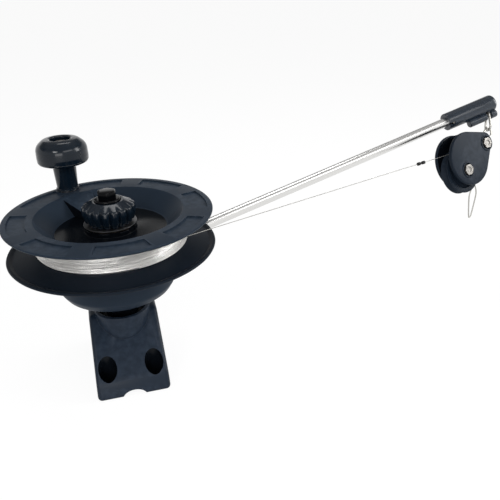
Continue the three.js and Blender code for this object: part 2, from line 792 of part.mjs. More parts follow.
function makeUpperFlange() {
  const floorBottom = dishFloorHeight - dishThickness;
  const bandBottom = rimHeight - bandThickness;
  let body = solid(turned([
    [bushRadius + gap, floorBottom],
    [dishFloorRadius + bite, floorBottom],
    [bandInner, bandBottom],
    [rimRadius - 2 * rimEdge, bandBottom + rimBevel],
    [rimRadius - rimBevel, rimHeight - rimEdge],
    [rimRadius, rimHeight - rimEdge / 2],
    [rimRadius - rimBevel, rimHeight],
    [bandInner, rimHeight],
    [bandInner - bandStep, rimHeight - bandStep],
    [dishFloorRadius, dishFloorHeight],
    [hubRadius, dishFloorHeight],
    [hubRadius, hubTop],
    [bushRadius + gap, hubTop],
  ], reelSides));
  const armShape = sector(armInner, armOuter, crankAngle, armArc);
  const armBlank = prism(armShape, floorBottom + bite, rimHeight, { curveSegments: armSteps });
  const armSlope = runAlongX(prism(outline([
    [0, dishFloorHeight - bite],
    [armOuter + overrun, dishFloorHeight - bite],
    [armOuter + overrun, rimHeight],
    [bandInner, rimHeight],
    [armInner, hubTop - bite],
    [0, hubTop - bite],
  ]), -armOuter, armOuter)).rotateZ(crankAngle - Math.PI / 2);
  const coneAbove = solid(turned([
    [0, floorBottom + bite],
    [dishFloorRadius, floorBottom + bite],
    [bandInner, bandBottom + bite],
    [bandInner + 2 * overrun, bandBottom + bite],
    [bandInner + 2 * overrun, rimHeight + bite],
    [0, rimHeight + bite],
  ], reelSides));
  body = body.add(solid(armBlank).intersect(solid(armSlope)).intersect(coneAbove));
  const boss = disc(crankBoss, bandBottom + bite, rimHeight, pipeSides);
  for (let i = 0; i < pocketCount; i += 1) {
    const middle = pocketPhase + (i * 2 * Math.PI) / pocketCount;
    const pocket = sector(pocketInner, pocketOuter, middle, pocketArc);
    const cutter = prism(pocket, rimHeight - pocketDepth, rimHeight + overrun, {
      curveSegments: pocketSteps,
    });
    body = body.subtract(solid(cutter));
  }
  body = body.add(solid(boss.translate(crankPlace.x, crankPlace.y, 0)));
  const bore = disc(crankBoltRadius + gap, rimHeight - 3 * overrun, rimHeight + overrun);
  body = body.subtract(solid(bore.translate(crankPlace.x, crankPlace.y, 0)));
  for (const place of spoolScrewPlaces()) {
    const pad = disc(spoolScrewBoss, floorBottom - 2 * overrun, floorBottom + bite);
    const pilotTop = floorBottom + bite / 2;
    const pilot = disc(spoolScrewRadius + gap, floorBottom - 3 * overrun, pilotTop, holeSides);
    body = body.add(solid(pad.translate(place.x, place.y, 0)));
    body = body.subtract(solid(pilot.translate(place.x, place.y, 0)));
  }
  for (let i = 0; i < hubRecessCount; i += 1) {
    const angle = (i * 2 * Math.PI) / hubRecessCount;
    const width = (Math.PI * hubRadius) / hubRecessCount;
    const recess = new THREE.BoxGeometry(2 * hubRecessDepth, width, hubTop - dishFloorHeight);
    recess.translate(hubRadius, 0, (hubTop + dishFloorHeight) / 2 + bite).rotateZ(angle);
    body = body.subtract(solid(recess));
  }
  return body;
}

function spoolScrewPlaces() {
  return circlePlaces(spoolScrewCount, spoolScrewCircle, Math.PI / spoolScrewCount);
}

addPart('upper_flange', makeUpperFlange(), plastic);

function makeLowerFlange() {
  const bottom = lowerFlangeInner - lowerFlangeThickness;
  const coreTop = dishFloorHeight - dishThickness - gap;
  const lipBottom = lowerRimHeight - lowerFlangeThickness;
  let body = solid(turned([
    [bushRadius + gap, lowerHubBottom],
    [lowerHubRadius, lowerHubBottom],
    [lowerHubRadius, bottom],
    [bandInner, bottom],
    [lowerRimRadius - 3 * lowerLipHeight, lipBottom - lowerLipHeight / 3],
    [lowerRimRadius - lowerLipHeight / 2, lipBottom],
    [lowerRimRadius, lowerRimHeight - lowerLipHeight],
    [lowerRimRadius - lowerLipHeight / 2, lowerRimHeight],
    [lowerRimRadius - lowerLipHeight * 2, lowerRimHeight],
    [lowerRimRadius - lowerLipHeight * 4, lowerRimHeight - lowerLipHeight],
    [bandInner, lowerFlangeInner],
    [coreRadius, lowerFlangeInner],
    [coreRadius, coreTop],
    [coreRadius - coreWall, coreTop],
    [coreRadius - coreWall, lowerFlangeInner],
    [bushRadius + gap, lowerFlangeInner],
  ], reelSides));
  const padTop = dishFloorHeight - dishThickness - 2 * overrun - gap;
  for (const place of spoolScrewPlaces()) {
    const pad = disc(spoolScrewBoss, bottom + bite, padTop);
    const clear = disc(spoolScrewRadius + gap, bottom - overrun, padTop + overrun, holeSides);
    body = body.add(solid(pad.translate(place.x, place.y, 0)));
    body = body.subtract(solid(clear.translate(place.x, place.y, 0)));
  }
  return body;
}

addPart('lower_flange', makeLowerFlange(), plastic);

spoolScrewPlaces().forEach((place, i) => {
  const seat = lowerFlangeInner - lowerFlangeThickness - gap;
  const top = dishFloorHeight - dishThickness - gap;
  const screw = turned([
    [0, seat - spoolScrewHeadHeight],
    [spoolScrewHead, seat - spoolScrewHeadHeight],
    [spoolScrewHead, seat],
    [spoolScrewRadius, seat],
    [spoolScrewRadius, top],
    [0, top],
  ], holeSides);
  addPart(`spool_screw_${i + 1}`, screw, steel).position.copy(place);
});

addPart('lower_bush', ring(bushBore, bushRadius, lowerHubBottom + gap, lowerFlangeInner), bronze);
const upperBushBottom = dishFloorHeight - dishThickness;
addPart('upper_bush', ring(bushBore, bushRadius, upperBushBottom, hubTop - gap), bronze);

// Winding: the outer layer as one unbroken helix over a plain core

class Winding extends THREE.Curve {
  getPoint(share, target = new THREE.Vector3()) {
    const angle = leaveAngle + share * windingLoops * 2 * Math.PI;
    const height = lowerFlangeInner + windingStart + share * windingLoops * windingPitch;
    return target.set(windingRadius * Math.cos(angle), windingRadius * Math.sin(angle), height);
  }
}

function makeWinding() {
  const curve = new Winding();
  const steps = windingLoops * windingSteps;
  const up = new THREE.Vector3(0, 0, 1);
  const positions = [];
  const index = [];
  const lead = 2 * cableRadius;
  const stations = [];
  for (let i = 0; i <= steps; i += 1) {
    const centre = curve.getPoint(i / steps);
    stations.push({ centre, out: new THREE.Vector3(centre.x, centre.y, 0).normalize() });
  }
  const first = stations[0];
  const last = stations[steps];
  const along = (station, sense) => (
    new THREE.Vector3(-station.out.y, station.out.x, 0).multiplyScalar(sense * lead)
  );
  stations.unshift({ centre: first.centre.clone().add(along(first, -1)), out: first.out });
  stations.push({ centre: last.centre.clone().add(along(last, 1)), out: last.out });
  stations.forEach(({ centre, out }) => {
    for (let j = 0; j < windingSides; j += 1) {
      const angle = (j * 2 * Math.PI) / windingSides;
      positions.push(...centre.clone()
        .addScaledVector(out, cableRadius * Math.cos(angle))
        .addScaledVector(up, cableRadius * Math.sin(angle)));
    }
  });
  const count = stations.length;
  for (let i = 0; i + 1 < count; i += 1) {
    for (let j = 0; j < windingSides; j += 1) {
      const next = (j + 1) % windingSides;
      const here = i * windingSides;
      const ahead = here + windingSides;
      index.push(here + j, here + next, ahead + j, here + next, ahead + next, ahead + j);
    }
  }
  for (let j = 1; j + 1 < windingSides; j += 1) {
    const end = (count - 1) * windingSides;
    index.push(0, j + 1, j);
    index.push(end, end + j, end + j + 1);
  }
  const least = leastGap(stations.map((s) => s.centre), windingSteps);
  console.log(`least gap of the winding to itself: ${least.toFixed(3)} mm`);
  const geometry = new THREE.BufferGeometry();
  geometry.setAttribute('position', new THREE.Float32BufferAttribute(positions, 3));
  geometry.setIndex(index);
  return geometry;
}

// Least distance between the surfaces of neighbouring loops, measured on the centre line's points
function leastGap(centres, stepsPerLoop) {
  let least = Infinity;
  for (let i = 0; i < centres.length; i += 1) {
    const from = i + Math.floor(stepsPerLoop / 2);
    const to = Math.min(centres.length, i + 2 * stepsPerLoop);
    for (let j = from; j < to; j += 1) {
      least = Math.min(least, centres[i].distanceTo(centres[j]) - 2 * cableRadius);
    }
  }
  return least;
}

addPart('cable_winding', makeWinding(), cable);

function makeWindingCore() {
  const floorBottom = dishFloorHeight - dishThickness;
  const foot = dishFloorRadius + bite;
  const slope = (rimHeight - bandThickness - floorBottom) / (bandInner - foot);
  const ceiling = (r) => floorBottom + Math.max(0, r - foot) * slope - 2 * gap;
  return turned([
    [coreRadius + gap, lowerFlangeInner + gap],
    [windingCoreRadius, lowerFlangeInner + gap],
    [windingCoreRadius, ceiling(windingCoreRadius)],
    [foot, ceiling(foot)],
    [coreRadius + gap, ceiling(coreRadius + gap)],
  ], reelSides);
}

addPart('winding_core', makeWindingCore(), cable);

// Brake on the shaft: plate, lining and spring under a lobed knob, and a hex cap

const upperLiningTop = upperLiningBottom + liningThickness;
const upperLining = ring(bushBore, upperLiningOuter, upperLiningBottom, upperLiningTop);
addPart('upper_brake_lining', upperLining, lining);
const plateBore = threadRadius + gap;
const plate = ring(plateBore, plateRadius, plateBottom, plateBottom + plateThickness, postSides);
addPart('pressure_plate', plate, steel);
addPart('disc_spring', turned([
  [threadRadius + 2 * gap, springBottom + springThickness],
  [springOuter - springThickness / 2, springBottom],
  [springOuter, springBottom],
  [springOuter, springBottom + springThickness / 2],
  [threadRadius + 2 * gap, springBottom + 1.5 * springThickness],
], turnedSides), steel);

function lobedShape(radius) {
  const points = [];
  const steps = lobeSteps * knobLobes;
  for (let i = 0; i < steps; i += 1) {
    const angle = (i * 2 * Math.PI) / steps;
    const wave = Math.abs(Math.cos((knobLobes * angle) / 2));
    const r = radius * (1 - lobeDepthShare * (1 - wave) ** 2);
    points.push([r * Math.cos(angle), r * Math.sin(angle)]);
  }
  return outline(points);
}

function makeBrakeKnob() {
  const shoulder = knobTop - knobShoulder;
  const skirtTop = knobBottom + knobSkirtHeight;
  const envelope = solid(turned([
    [0, knobBottom],
    [knobSkirtRadius, knobBottom],
    [knobSkirtRadius, skirtTop],
    [knobRadius - knobBaseInset, skirtTop],
    [knobRadius, (skirtTop + shoulder) / 2],
    [knobRadius - knobBaseInset / 2, shoulder],
    [knobTopRadius, knobTop],
    [0, knobTop],
  ], postSides));
  let body = solid(prism(lobedShape(knobRadius), knobBottom, knobTop)).intersect(envelope);
  const recess = disc(knobRecessRadius, knobTop - knobRecessDepth, knobTop + overrun, postSides);
  body = body.subtract(solid(recess));
  body = body.subtract(solid(disc(insertRadius + gap, knobBottom - overrun, knobTop, pipeSides)));
  const roomTop = springBottom + 2 * springThickness + gap;
  const springRoom = disc(springOuter + bite, knobBottom - overrun, roomTop, pipeSides);
  return body.subtract(solid(springRoom));
}

addPart('brake_knob', makeBrakeKnob(), plastic);
const insertBottom = springBottom + 2 * springThickness;
const insertTop = knobTop - knobRecessDepth - gap;
const insert = ring(threadRadius + gap, insertRadius, insertBottom, insertTop, pipeSides);
addPart('knob_insert', insert, bronze);

function makeShaftCap() {
  const collarTop = capBottom + capCollarHeight;
  let body = solid(disc(capCollarRadius, capBottom, collarTop, postSides));
  body = body.add(solid(hexagon(capHexRadius, collarTop - bite, collarTop + capHexHeight)));
  return body.subtract(solid(disc(threadRadius + gap, capBottom - overrun, shaftTop + gap, pipeSides)));
}

addPart('shaft_cap', makeShaftCap(), plastic);

// Crank knob on its bolt

const crankGroup = new THREE.Group();
crankGroup.position.copy(crankPlace);
assembly.add(crankGroup);

const washerOuter = crankCollarRadius - crankWasher;
const washer = ring(crankBoltRadius + gap, washerOuter, gap, gap + crankWasher);
addPart('crank_washer', washer, steel, crankGroup);

function makeCrankKnob() {
  const bottom = crankWasher + 2 * gap;
  const top = crankHeight + bottom;
  const capBase = top - crankCapHeight;
  const bead = crankShoulder / 3;
  return turned([
    [crankBoltRadius + gap, bottom],
    [crankCollarRadius, bottom],
    [crankCollarRadius, bottom + crankCollarHeight / 2],
    [crankStemBase, bottom + crankCollarHeight],
    [crankStemTop, capBase],
    [crankCapRadius - 2 * bead, capBase],
    [crankCapRadius - bead, capBase + bead],
    [crankCapRadius, capBase + crankShoulder],
    [crankCapRadius - bead / 3, top - crankShoulder - bead],
    [crankCapRadius - bead, top - crankShoulder + bead],
    [crankCapRadius - 2 * bead, top - bead],
    [crankCapRadius - crankShoulder, top - bead / 3],
    [crankRecess + bead, top],
    [crankRecess, top - bead / 3],
    [crankRecess, top - crankRecessDepth],
    [crankBoltRadius + gap, top - crankRecessDepth],
  ], crankSides);
}

addPart('crank_knob', makeCrankKnob(), rubber, crankGroup);
const crankTop = crankHeight + crankWasher + 2 * gap;
const nutSeat = crankTop - crankRecessDepth + gap;
const crankNutHeight = crankRecessDepth / 2;
const crankShank = bandThickness + nutSeat + crankNutHeight + gap;
const crankBolt = makeHexBolt(
  boltProfile(crankBoltRadius, crankShank, crankBoltHead, crankBoltHeadHeight),
).rotate([180, 0, 0]);
addPart('crank_bolt', crankBolt, steel, crankGroup).position.set(0, 0, -bandThickness - gap);
const crankNut = makeHexNut(crankBoltHead, crankBoltRadius + gap, crankNutHeight);
addPart('crank_nut', crankNut, steel, crankGroup).position.set(0, 0, nutSeat);

// Pulley block: X in the sheave's plane, Y along its axle, hung at the origin

const blockGroup = new THREE.Group();
blockGroup.applyMatrix4(blockMatrix);
assembly.add(blockGroup);
const leanGroup = new THREE.Group();
leanGroup.rotation.y = blockLean;
blockGroup.add(leanGroup);
assembly.updateMatrixWorld(true);

// Cheek outline: a round lobe at the hanger and a large round body, with their shared tangents
function cheekShape() {
  const centre = new THREE.Vector2(-cheekCentreAside, -cheekCentreAlong);
  const back = Math.atan2(-centre.y, -centre.x);
  const tilt = Math.acos((cheekRadius - lobeRadius) / centre.length());
  const shape = new THREE.Shape();
  shape.absarc(0, 0, lobeRadius, back - tilt, back + tilt, false);
  shape.absarc(centre.x, centre.y, cheekRadius, back + tilt, back - tilt + 2 * Math.PI, false);
  return shape;
}

function makeCheek(side) {
  const edge = cheekThickness / 4;
  const plate = prism(cheekShape(), edge, cheekThickness - edge, {
    bevelEnabled: true,
    bevelThickness: edge,
    bevelSize: edge,
    bevelOffset: -edge,
    bevelSegments: 1,
    curveSegments: cheekSteps,
  });
  let body = solid(plate);
  if (side < 0) {
    const webOuter = cheekRadius - edge;
    const web = sector(webOuter - webThickness, webOuter, (webStart + webEnd) / 2, webEnd - webStart);
    const wall = prism(web, gap - 2 * cheekGap, edge + bite, { curveSegments: pocketSteps });
    body = body.add(solid(wall.translate(-cheekCentreAside, -cheekCentreAlong, 0)));
  }
  const places = [[0, hangerBoltRadius], [-axleDistance, axleRadius]];
  for (const [z, radius] of places) {
    const ribTop = cheekThickness + seatRibHeight;
    const rib = disc(blockSeatRadius + seatRibWidth, edge, ribTop, pipeSides);
    body = body.add(solid(rib.translate(0, z, 0)));
    const cutTop = cheekThickness + overrun;
    const seat = disc(blockSeatRadius, cheekThickness - blockSeatDepth, cutTop, pipeSides);
    body = body.subtract(solid(seat.translate(0, z, 0)));
    body = body.subtract(solid(disc(radius + gap, -overrun, cutTop).translate(0, z, 0)));
  }
  const geometry = runAlongY(geometryOf(body).translate(0, 0, cheekGap));
  return side > 0 ? geometry : geometry.scale(1, -1, 1);
}

addPart('front_cheek', makeCheek(1), plastic, leanGroup);
addPart('rear_cheek', makeCheek(-1), plastic, leanGroup);

function towardsFront(geometry) {
  return geometry.rotateX(Math.PI / 2);
}

const cheekSeat = cheekGap + cheekThickness - blockSeatDepth;
const blockShank = 2 * cheekSeat + gap + blockBoltHeadHeight + boltPoint;
function addBlockBolt(name, nutName, radius, z) {
  const profile = boltProfile(radius, blockShank, blockBoltHead, blockBoltHeadHeight);
  const bolt = geometryOf(makeHexBolt(profile));
  addPart(name, towardsFront(bolt), steel, leanGroup).position.set(0, -cheekSeat - gap, z);
  const nut = geometryOf(makeHexNut(blockBoltHead, radius + gap, blockBoltHeadHeight));
  const placed = addPart(nutName, towardsFront(nut), steel, leanGroup);
  placed.position.set(0, cheekSeat + gap + blockBoltHeadHeight, z);
}
addBlockBolt('hanger_bolt', 'hanger_nut', hangerBoltRadius, 0);
addBlockBolt('axle_bolt', 'axle_nut', axleRadius, -axleDistance);

// Sheave and its bush
function makeSheave() {
  const half = sheaveWidth / 2;
  const web = half - sheaveWebSink;
  const hubOuter = sheaveBush + sheaveHubWidth;
  const rimInner = grooveRadius - sheaveRimWidth;
  return turned([
    [sheaveBush + gap, -half],
    [hubOuter, -half],
    [hubOuter + sheaveWebRun, -web],
    [rimInner - sheaveWebRun, -web],
    [rimInner, -half],
    [sheaveRadius, -half],
    [sheaveRadius, -half + sheaveEdge],
    [grooveRadius, -grooveWidth / 2],
    [grooveRadius, grooveWidth / 2],
    [sheaveRadius, half - sheaveEdge],
    [sheaveRadius, half],
    [rimInner, half],
    [rimInner - sheaveWebRun, web],
    [hubOuter + sheaveWebRun, web],
    [hubOuter, half],
    [sheaveBush + gap, half],
  ], crankSides);
}
addPart('sheave', towardsFront(makeSheave()), plastic, leanGroup).position.set(0, 0, -axleDistance);
const bushHalf = cheekGap - gap;
const sheaveBushRing = ring(axleRadius + gap, sheaveBush, -bushHalf, bushHalf, pipeSides);
const sheaveBushPart = addPart('sheave_bush', towardsFront(sheaveBushRing), bronze, leanGroup);
sheaveBushPart.position.set(0, 0, -axleDistance);

// Hanger eye round the hanger bolt, with a spacer tube on each side of it
function ovalCurve(length, halfWidth, endRadius) {
  const points = [];
  const bend = (along, radius, from) => {
    for (let i = 0; i <= wireBendSteps; i += 1) {
      const angle = from + (i * Math.PI) / wireBendSteps;
      const reach = along + radius * Math.cos(angle);
      points.push(new THREE.Vector3(reach, 0, radius * Math.sin(angle)));
    }
  };
  bend(0, endRadius, Math.PI / 2);
  bend(length - halfWidth, halfWidth, -Math.PI / 2);
  return new THREE.CatmullRomCurve3(points, true, 'centripetal');
}

const levelY = new THREE.Vector3(0, 1, 0);
const eyeCurve = ovalCurve(eyeLength, eyeHalfWidth, hangerBoltRadius + eyeWire + gap);
const eye = closedWire(eyeCurve, eyeWire, wireSteps, wireSides, levelY);
eye.rotateY(-eyeAngle).translate(0, eyeShift, 0);
addPart('hanger_eye', eye, steel, blockGroup);
const frontSpacer = [-cheekGap + gap, eyeShift - eyeWire - gap];
const rearSpacer = [eyeShift + eyeWire + gap, cheekGap - gap];
function addSpacer(name, [from, to]) {
  const bore = hangerBoltRadius + gap;
  const piece = ring(bore, bore + spacerWall, -to, -from, pipeSides);
  addPart(name, towardsFront(piece), steel, leanGroup);
}
addSpacer('front_spacer', frontSpacer);
addSpacer('rear_spacer', rearSpacer);

// Hanging link between the pin in the sleeve's lug and the hanger eye
const eyeBend = eyeLength - eyeHalfWidth;
const eyeCentre = new THREE.Vector3(
  eyeBend * Math.cos(eyeAngle), eyeShift, eyeBend * Math.sin(eyeAngle),
).applyMatrix4(blockGroup.matrixWorld);

function makeLink() {
  const down = eyeCentre.clone().sub(pinPlace);
  const length = down.length();
  down.normalize();
  const boomWay = new THREE.Vector3(Math.cos(boomRise), 0, Math.sin(boomRise));
  const normal = boomWay.clone().addScaledVector(down, -boomWay.dot(down)).normalize();
  const side = new THREE.Vector3().crossVectors(down, normal);
  const reach = length - eyeHalfWidth + eyeWire + linkWire + gap;
  const curve = ovalCurve(reach, linkHalfWidth, linkPinRadius + linkWire + gap);
  const wire = closedWire(curve, linkWire, wireSteps, wireSides, levelY);
  const frame = new THREE.Matrix4().makeBasis(down, normal, side).setPosition(pinPlace);
  return wire.applyMatrix4(frame);
}
addPart('hanging_link', makeLink(), steel);

// Cable: the run from the winding to the sheave, and the tail over the sheave down to the snap
const ropeRadius = grooveRadius + cableRadius + gap;
const leave = new THREE.Vector3(
  windingRadius * Math.cos(leaveAngle),
  windingRadius * Math.sin(leaveAngle),
  lowerFlangeInner + cableLift,
);
const leaveInBlock = blockGroup.worldToLocal(leave.clone());
const toReel = leaveInBlock.clone().sub(axleInBlock);
const reelReach = Math.hypot(toReel.x, toReel.z);
const reelAngle = Math.atan2(toReel.z, toReel.x) - Math.acos(ropeRadius / reelReach);
const onSheave = (angle, radius = ropeRadius) => new THREE.Vector3(
  axleInBlock.x + radius * Math.cos(angle), 0, axleInBlock.z + radius * Math.sin(angle),
);
const contact = onSheave(reelAngle).applyMatrix4(blockGroup.matrixWorld);
const runWay = contact.clone().sub(leave).normalize();
const runEnd = contact.clone().addScaledVector(runWay, -gap);
const runLine = new THREE.LineCurve3(leave, runEnd);
addPart('cable_run', tube(runLine, cableRadius, cableSides, cableSides), cable);

// Stop: two beads on the cable, joined by a thin waist
const stopHalf = stopLength / 2;
const waistHalf = stopWaist / 2;
const stop = turned([
  [cableRadius + gap, -stopHalf],
  [stopNeck, -stopHalf],
  [stopRadius, stopEase - stopHalf],
  [stopRadius, -waistHalf - stopEase / 2],
  [stopNeck, -waistHalf],
  [stopNeck, waistHalf],
  [stopRadius, waistHalf + stopEase / 2],
  [stopRadius, stopHalf - stopEase],
  [stopNeck, stopHalf],
  [cableRadius + gap, stopHalf],
], holeSides);
const stopPart = addPart('cable_stop', stop, rubber);
stopPart.position.copy(leave).lerp(contact, stopShare);
stopPart.quaternion.setFromUnitVectors(new THREE.Vector3(0, 0, 1), runWay);

function makeTail() {
  const points = [];
  const from = reelAngle < 0 ? reelAngle + 2 * Math.PI : reelAngle;
  for (let i = 0; i <= tailSteps; i += 1) {
    points.push(onSheave(from * (1 - i / tailSteps)));
  }
  const end = onSheave(0);
  points.push(end.clone().setZ(end.z - tailDrop / 2));
  points.push(end.clone().setZ(end.z - tailDrop));
  const path = new THREE.CatmullRomCurve3(points, false, 'centripetal');
  return tube(path, cableRadius, wireSteps, cableSides);
}
addPart('cable_tail', makeTail(), cable, blockGroup);

// Snap: hangs plumb from the end of the tail
const tailEnd = onSheave(0);
tailEnd.z -= tailDrop + gap;
const snapPlace = tailEnd.applyMatrix4(blockGroup.matrixWorld);
const snapGroup = new THREE.Group();
snapGroup.position.copy(snapPlace);
snapGroup.rotation.z = blockYaw;
assembly.add(snapGroup);
addPart('cable_crimp', disc(crimpRadius, -crimpLength, 0), steel, snapGroup);

function snapCurve() {
  const top = -crimpLength - snapWire - gap;
  const bottom = top - snapLength;
  const outlineShares = [
    [0, 0], [0.45, 0.05], [0.9, 0.2], [1, 0.36], [0.66, 0.7], [0.3, 0.96],
    [0, 1], [-0.3, 0.96], [-0.66, 0.7], [-1, 0.36], [-0.9, 0.2], [-0.45, 0.05],
  ];
  const points = outlineShares.map(([across, down]) => new THREE.Vector3(
    across * snapHalfWidth, 0, top + down * (bottom - top),
  ));
  return new THREE.CatmullRomCurve3(points, true, 'centripetal');
}
const snap = closedWire(snapCurve(), snapWire, wireSteps, wireSides, levelY);
addPart('cable_snap', snap, steel, snapGroup);

export default assembly;
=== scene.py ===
# %% [markdown]
# # A manual downrigger
# A downrigger lowers a fishing lure on a heavy weight. This one has a dished reel of steel cable on an
# upright shaft, a crank knob, a lobed brake knob, a tubular boom with a swinging pulley block, and a
# wedge-shaped bracket that is screwed to the deck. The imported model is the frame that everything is
# built on, so each new piece goes exactly where the frame has it.

# %% Load the frame
import math

import bmesh
import bpy
from mathutils import Matrix, Vector


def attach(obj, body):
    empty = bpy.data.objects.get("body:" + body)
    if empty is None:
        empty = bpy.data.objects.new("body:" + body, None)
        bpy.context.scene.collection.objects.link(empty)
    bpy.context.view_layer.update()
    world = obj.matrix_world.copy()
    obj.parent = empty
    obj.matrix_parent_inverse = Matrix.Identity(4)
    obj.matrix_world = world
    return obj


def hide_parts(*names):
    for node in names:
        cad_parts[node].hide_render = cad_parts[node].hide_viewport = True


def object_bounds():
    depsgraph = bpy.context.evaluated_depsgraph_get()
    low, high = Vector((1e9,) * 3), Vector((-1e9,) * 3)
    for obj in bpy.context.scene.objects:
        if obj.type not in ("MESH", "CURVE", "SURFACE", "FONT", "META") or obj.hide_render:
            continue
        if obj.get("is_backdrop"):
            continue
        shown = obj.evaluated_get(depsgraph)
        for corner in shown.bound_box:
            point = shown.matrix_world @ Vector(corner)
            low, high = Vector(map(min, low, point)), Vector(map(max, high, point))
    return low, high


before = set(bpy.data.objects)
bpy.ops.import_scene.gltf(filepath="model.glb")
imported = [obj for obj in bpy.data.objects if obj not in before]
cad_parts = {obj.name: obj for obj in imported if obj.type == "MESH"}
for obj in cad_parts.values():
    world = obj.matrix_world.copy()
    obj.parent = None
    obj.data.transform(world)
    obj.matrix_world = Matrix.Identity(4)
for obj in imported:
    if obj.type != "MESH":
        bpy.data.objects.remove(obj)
cad_low, cad_high = (corner.copy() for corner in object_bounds())

# %% [markdown]
# ## Camera
# The photograph was taken from in front of the reel, a little to its left and above it, with the
# camera tipped slightly, so that level lines rise to the right. The place and the lens come from
# fitting the two rims, the bracket and the boom.

# %% Place the camera
def turned(degrees, axis):
    return Matrix.Rotation(math.radians(degrees), 4, axis)


MM = 0.001
camera_azimuth, camera_elevation, camera_roll = -20, 25.7, 1.68
camera_place = Matrix.Translation(Vector((-65.3, -625.3, 439.75)) * MM)
camera_turn = turned(camera_azimuth, "Z") @ turned(90 - camera_elevation, "X") @ turned(-camera_roll, "Z")
camera_data = bpy.data.cameras.new("photo_camera")
camera_data.lens = 43.2
camera_data.sensor_width = 36
camera = bpy.data.objects.new("photo_camera", camera_data)
bpy.context.scene.collection.objects.link(camera)
camera.matrix_world = camera_place @ camera_turn
bpy.context.scene.camera = camera
print("camera at", tuple(round(value, 3) for value in camera.location))

# %% [markdown]
# ## Sizes
# All sizes are in millimetres and turn into metres in one place, when a finished piece is put into the
# frame. Most repeat the sizes of the solids, so that each piece covers the solid that it stands for. A
# few, such as the bracket's width and the knobs' outlines, were measured again in the photograph.

# %% Name the moves and the sizes that several pieces share
def shift(x=0, y=0, z=0):
    return Matrix.Translation((x, y, z))


def polar(radius, angle, height=0):
    return Vector((radius * math.cos(angle), radius * math.sin(angle), height))


def side_polar(radius, angle):
    return Vector((radius * math.cos(angle), 0, radius * math.sin(angle)))


GAP = 0.3
bracket_width = 78
bracket_flare = 2
bracket_height = 80
bracket_turn = turned(-5, "Z")
socket_radius = 28
socket_floor = 12
barrel_radius = socket_radius + 3.8
post_shoulder = bracket_height - 8
neck_radius = 18
post_top = bracket_height + 20
screw_circle = 12.5
cup_bottom = post_top + GAP
cup_radius = 65.5
cup_top = cup_bottom + 58.2
boom_offset = 40
boom_axis_height = cup_bottom + 0.24 * (cup_top - cup_bottom)
boom_rise = math.radians(14.6)
boom_radius = 6.5
boom_start = -26
boom_end = 546
sleeve_start = 480
sleeve_end = 558
sleeve_radius = 11.6
lug_start, lug_end = sleeve_end - 48.5, sleeve_end - 4.5
lug_side, lug_drop = -10, -11.5
rim_radius = 113
lower_rim_radius = 114
band_inner = 84
band_edge = 80.5
lower_inner = cup_top + 4.5
lower_rim_height = lower_inner - 4
dish_floor = lower_inner + 15
dish_radius = 62
rim_height = dish_floor + 19.5
hub_radius = 28.5
hub_top = dish_floor + 5
plate_bottom = hub_top + 2.1
knob_bottom = plate_bottom + 1.5
knob_top = knob_bottom + 25
cap_bottom = knob_top - 1.4
crank_top = 260.6
crank_radius = 100.5
crank_angle = math.radians(110)
crank_place = polar(crank_radius, crank_angle, rim_height)
crank_bore = 4 + GAP
bush_bore = 12 + GAP
winding_radius = band_inner - 1
cable_radius = 0.4
block_lean = math.radians(58.4)
axle_distance = 53.4
groove_radius = 25
cheek_gap = 9.5
cheek_thickness = 5

boom_frame = shift(y=boom_offset, z=boom_axis_height) @ Matrix.Rotation(-boom_rise, 4, "Y")
pin_place = boom_frame @ Vector((lug_end - 12.8, lug_side, lug_drop))
hanger_place = pin_place + Vector((-24.2, -16, -33.5))
block_frame = Matrix.Translation(hanger_place) @ turned(12, "Z") @ turned(-24, "X")
lean_frame = block_frame @ Matrix.Rotation(block_lean, 4, "Y")
along_x, along_y = turned(90, "Y"), turned(90, "X")
print("boom rises", round(math.degrees(boom_rise), 1), "degrees")

# %% [markdown]
# ## Helpers for modelling
# Each helper is one habit of modelling by hand. Everything is deselected first, because an operator
# acts on all that is selected. A turned piece starts as one point, which is extruded from corner to
# corner of the profile and then spun round the axis. Its corners are rounded in the profile, since a
# bevel on a spun mesh would need far more faces.

# %% Select, settle and place pieces
def select_only(piece, *others):
    if bpy.context.object and bpy.context.object.mode != "OBJECT":
        bpy.ops.object.mode_set(mode="OBJECT")
    bpy.ops.object.select_all(action="DESELECT")
    for chosen in (piece, *others):
        chosen.select_set(True)
    bpy.context.view_layer.objects.active = piece


def placed(piece, place=None):
    select_only(piece)
    if place is not None:
        piece.matrix_world = place
    bpy.ops.object.transform_apply(location=True, rotation=True, scale=True)
    return piece


def join_pieces(piece, *others):
    select_only(piece, *others)
    bpy.ops.object.join()


def apply_modifier(piece, kind, **settings):
    modifier = piece.modifiers.new(kind.lower(), kind)
    for name, value in settings.items():
        setattr(modifier, name, value)
    select_only(piece)
    bpy.ops.object.modifier_apply(modifier=modifier.name)


def combine(piece, tool, operation="DIFFERENCE"):
    apply_modifier(piece, "BOOLEAN", operation=operation, object=tool, solver="EXACT")
    bpy.data.objects.remove(tool)


def bevel_edges(piece, width, segments=2, angle=35):
    apply_modifier(
        piece, "BEVEL", width=width, segments=segments, limit_method="ANGLE",
        angle_limit=math.radians(angle), use_clamp_overlap=True, miter_outer="MITER_ARC",
    )


def paint(piece, material):
    piece.data.materials.clear()
    piece.data.materials.append(material)


def finish_piece(piece, name, body, nodes, finish, place=None, smooth=40):
    placed(piece, place)
    piece.data.transform(Matrix.Scale(MM, 4))
    bpy.ops.object.shade_smooth_by_angle(angle=math.radians(smooth))
    piece.name = piece.data.name = name
    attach(piece, body)
    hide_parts(*nodes)
    paint(piece, finish)


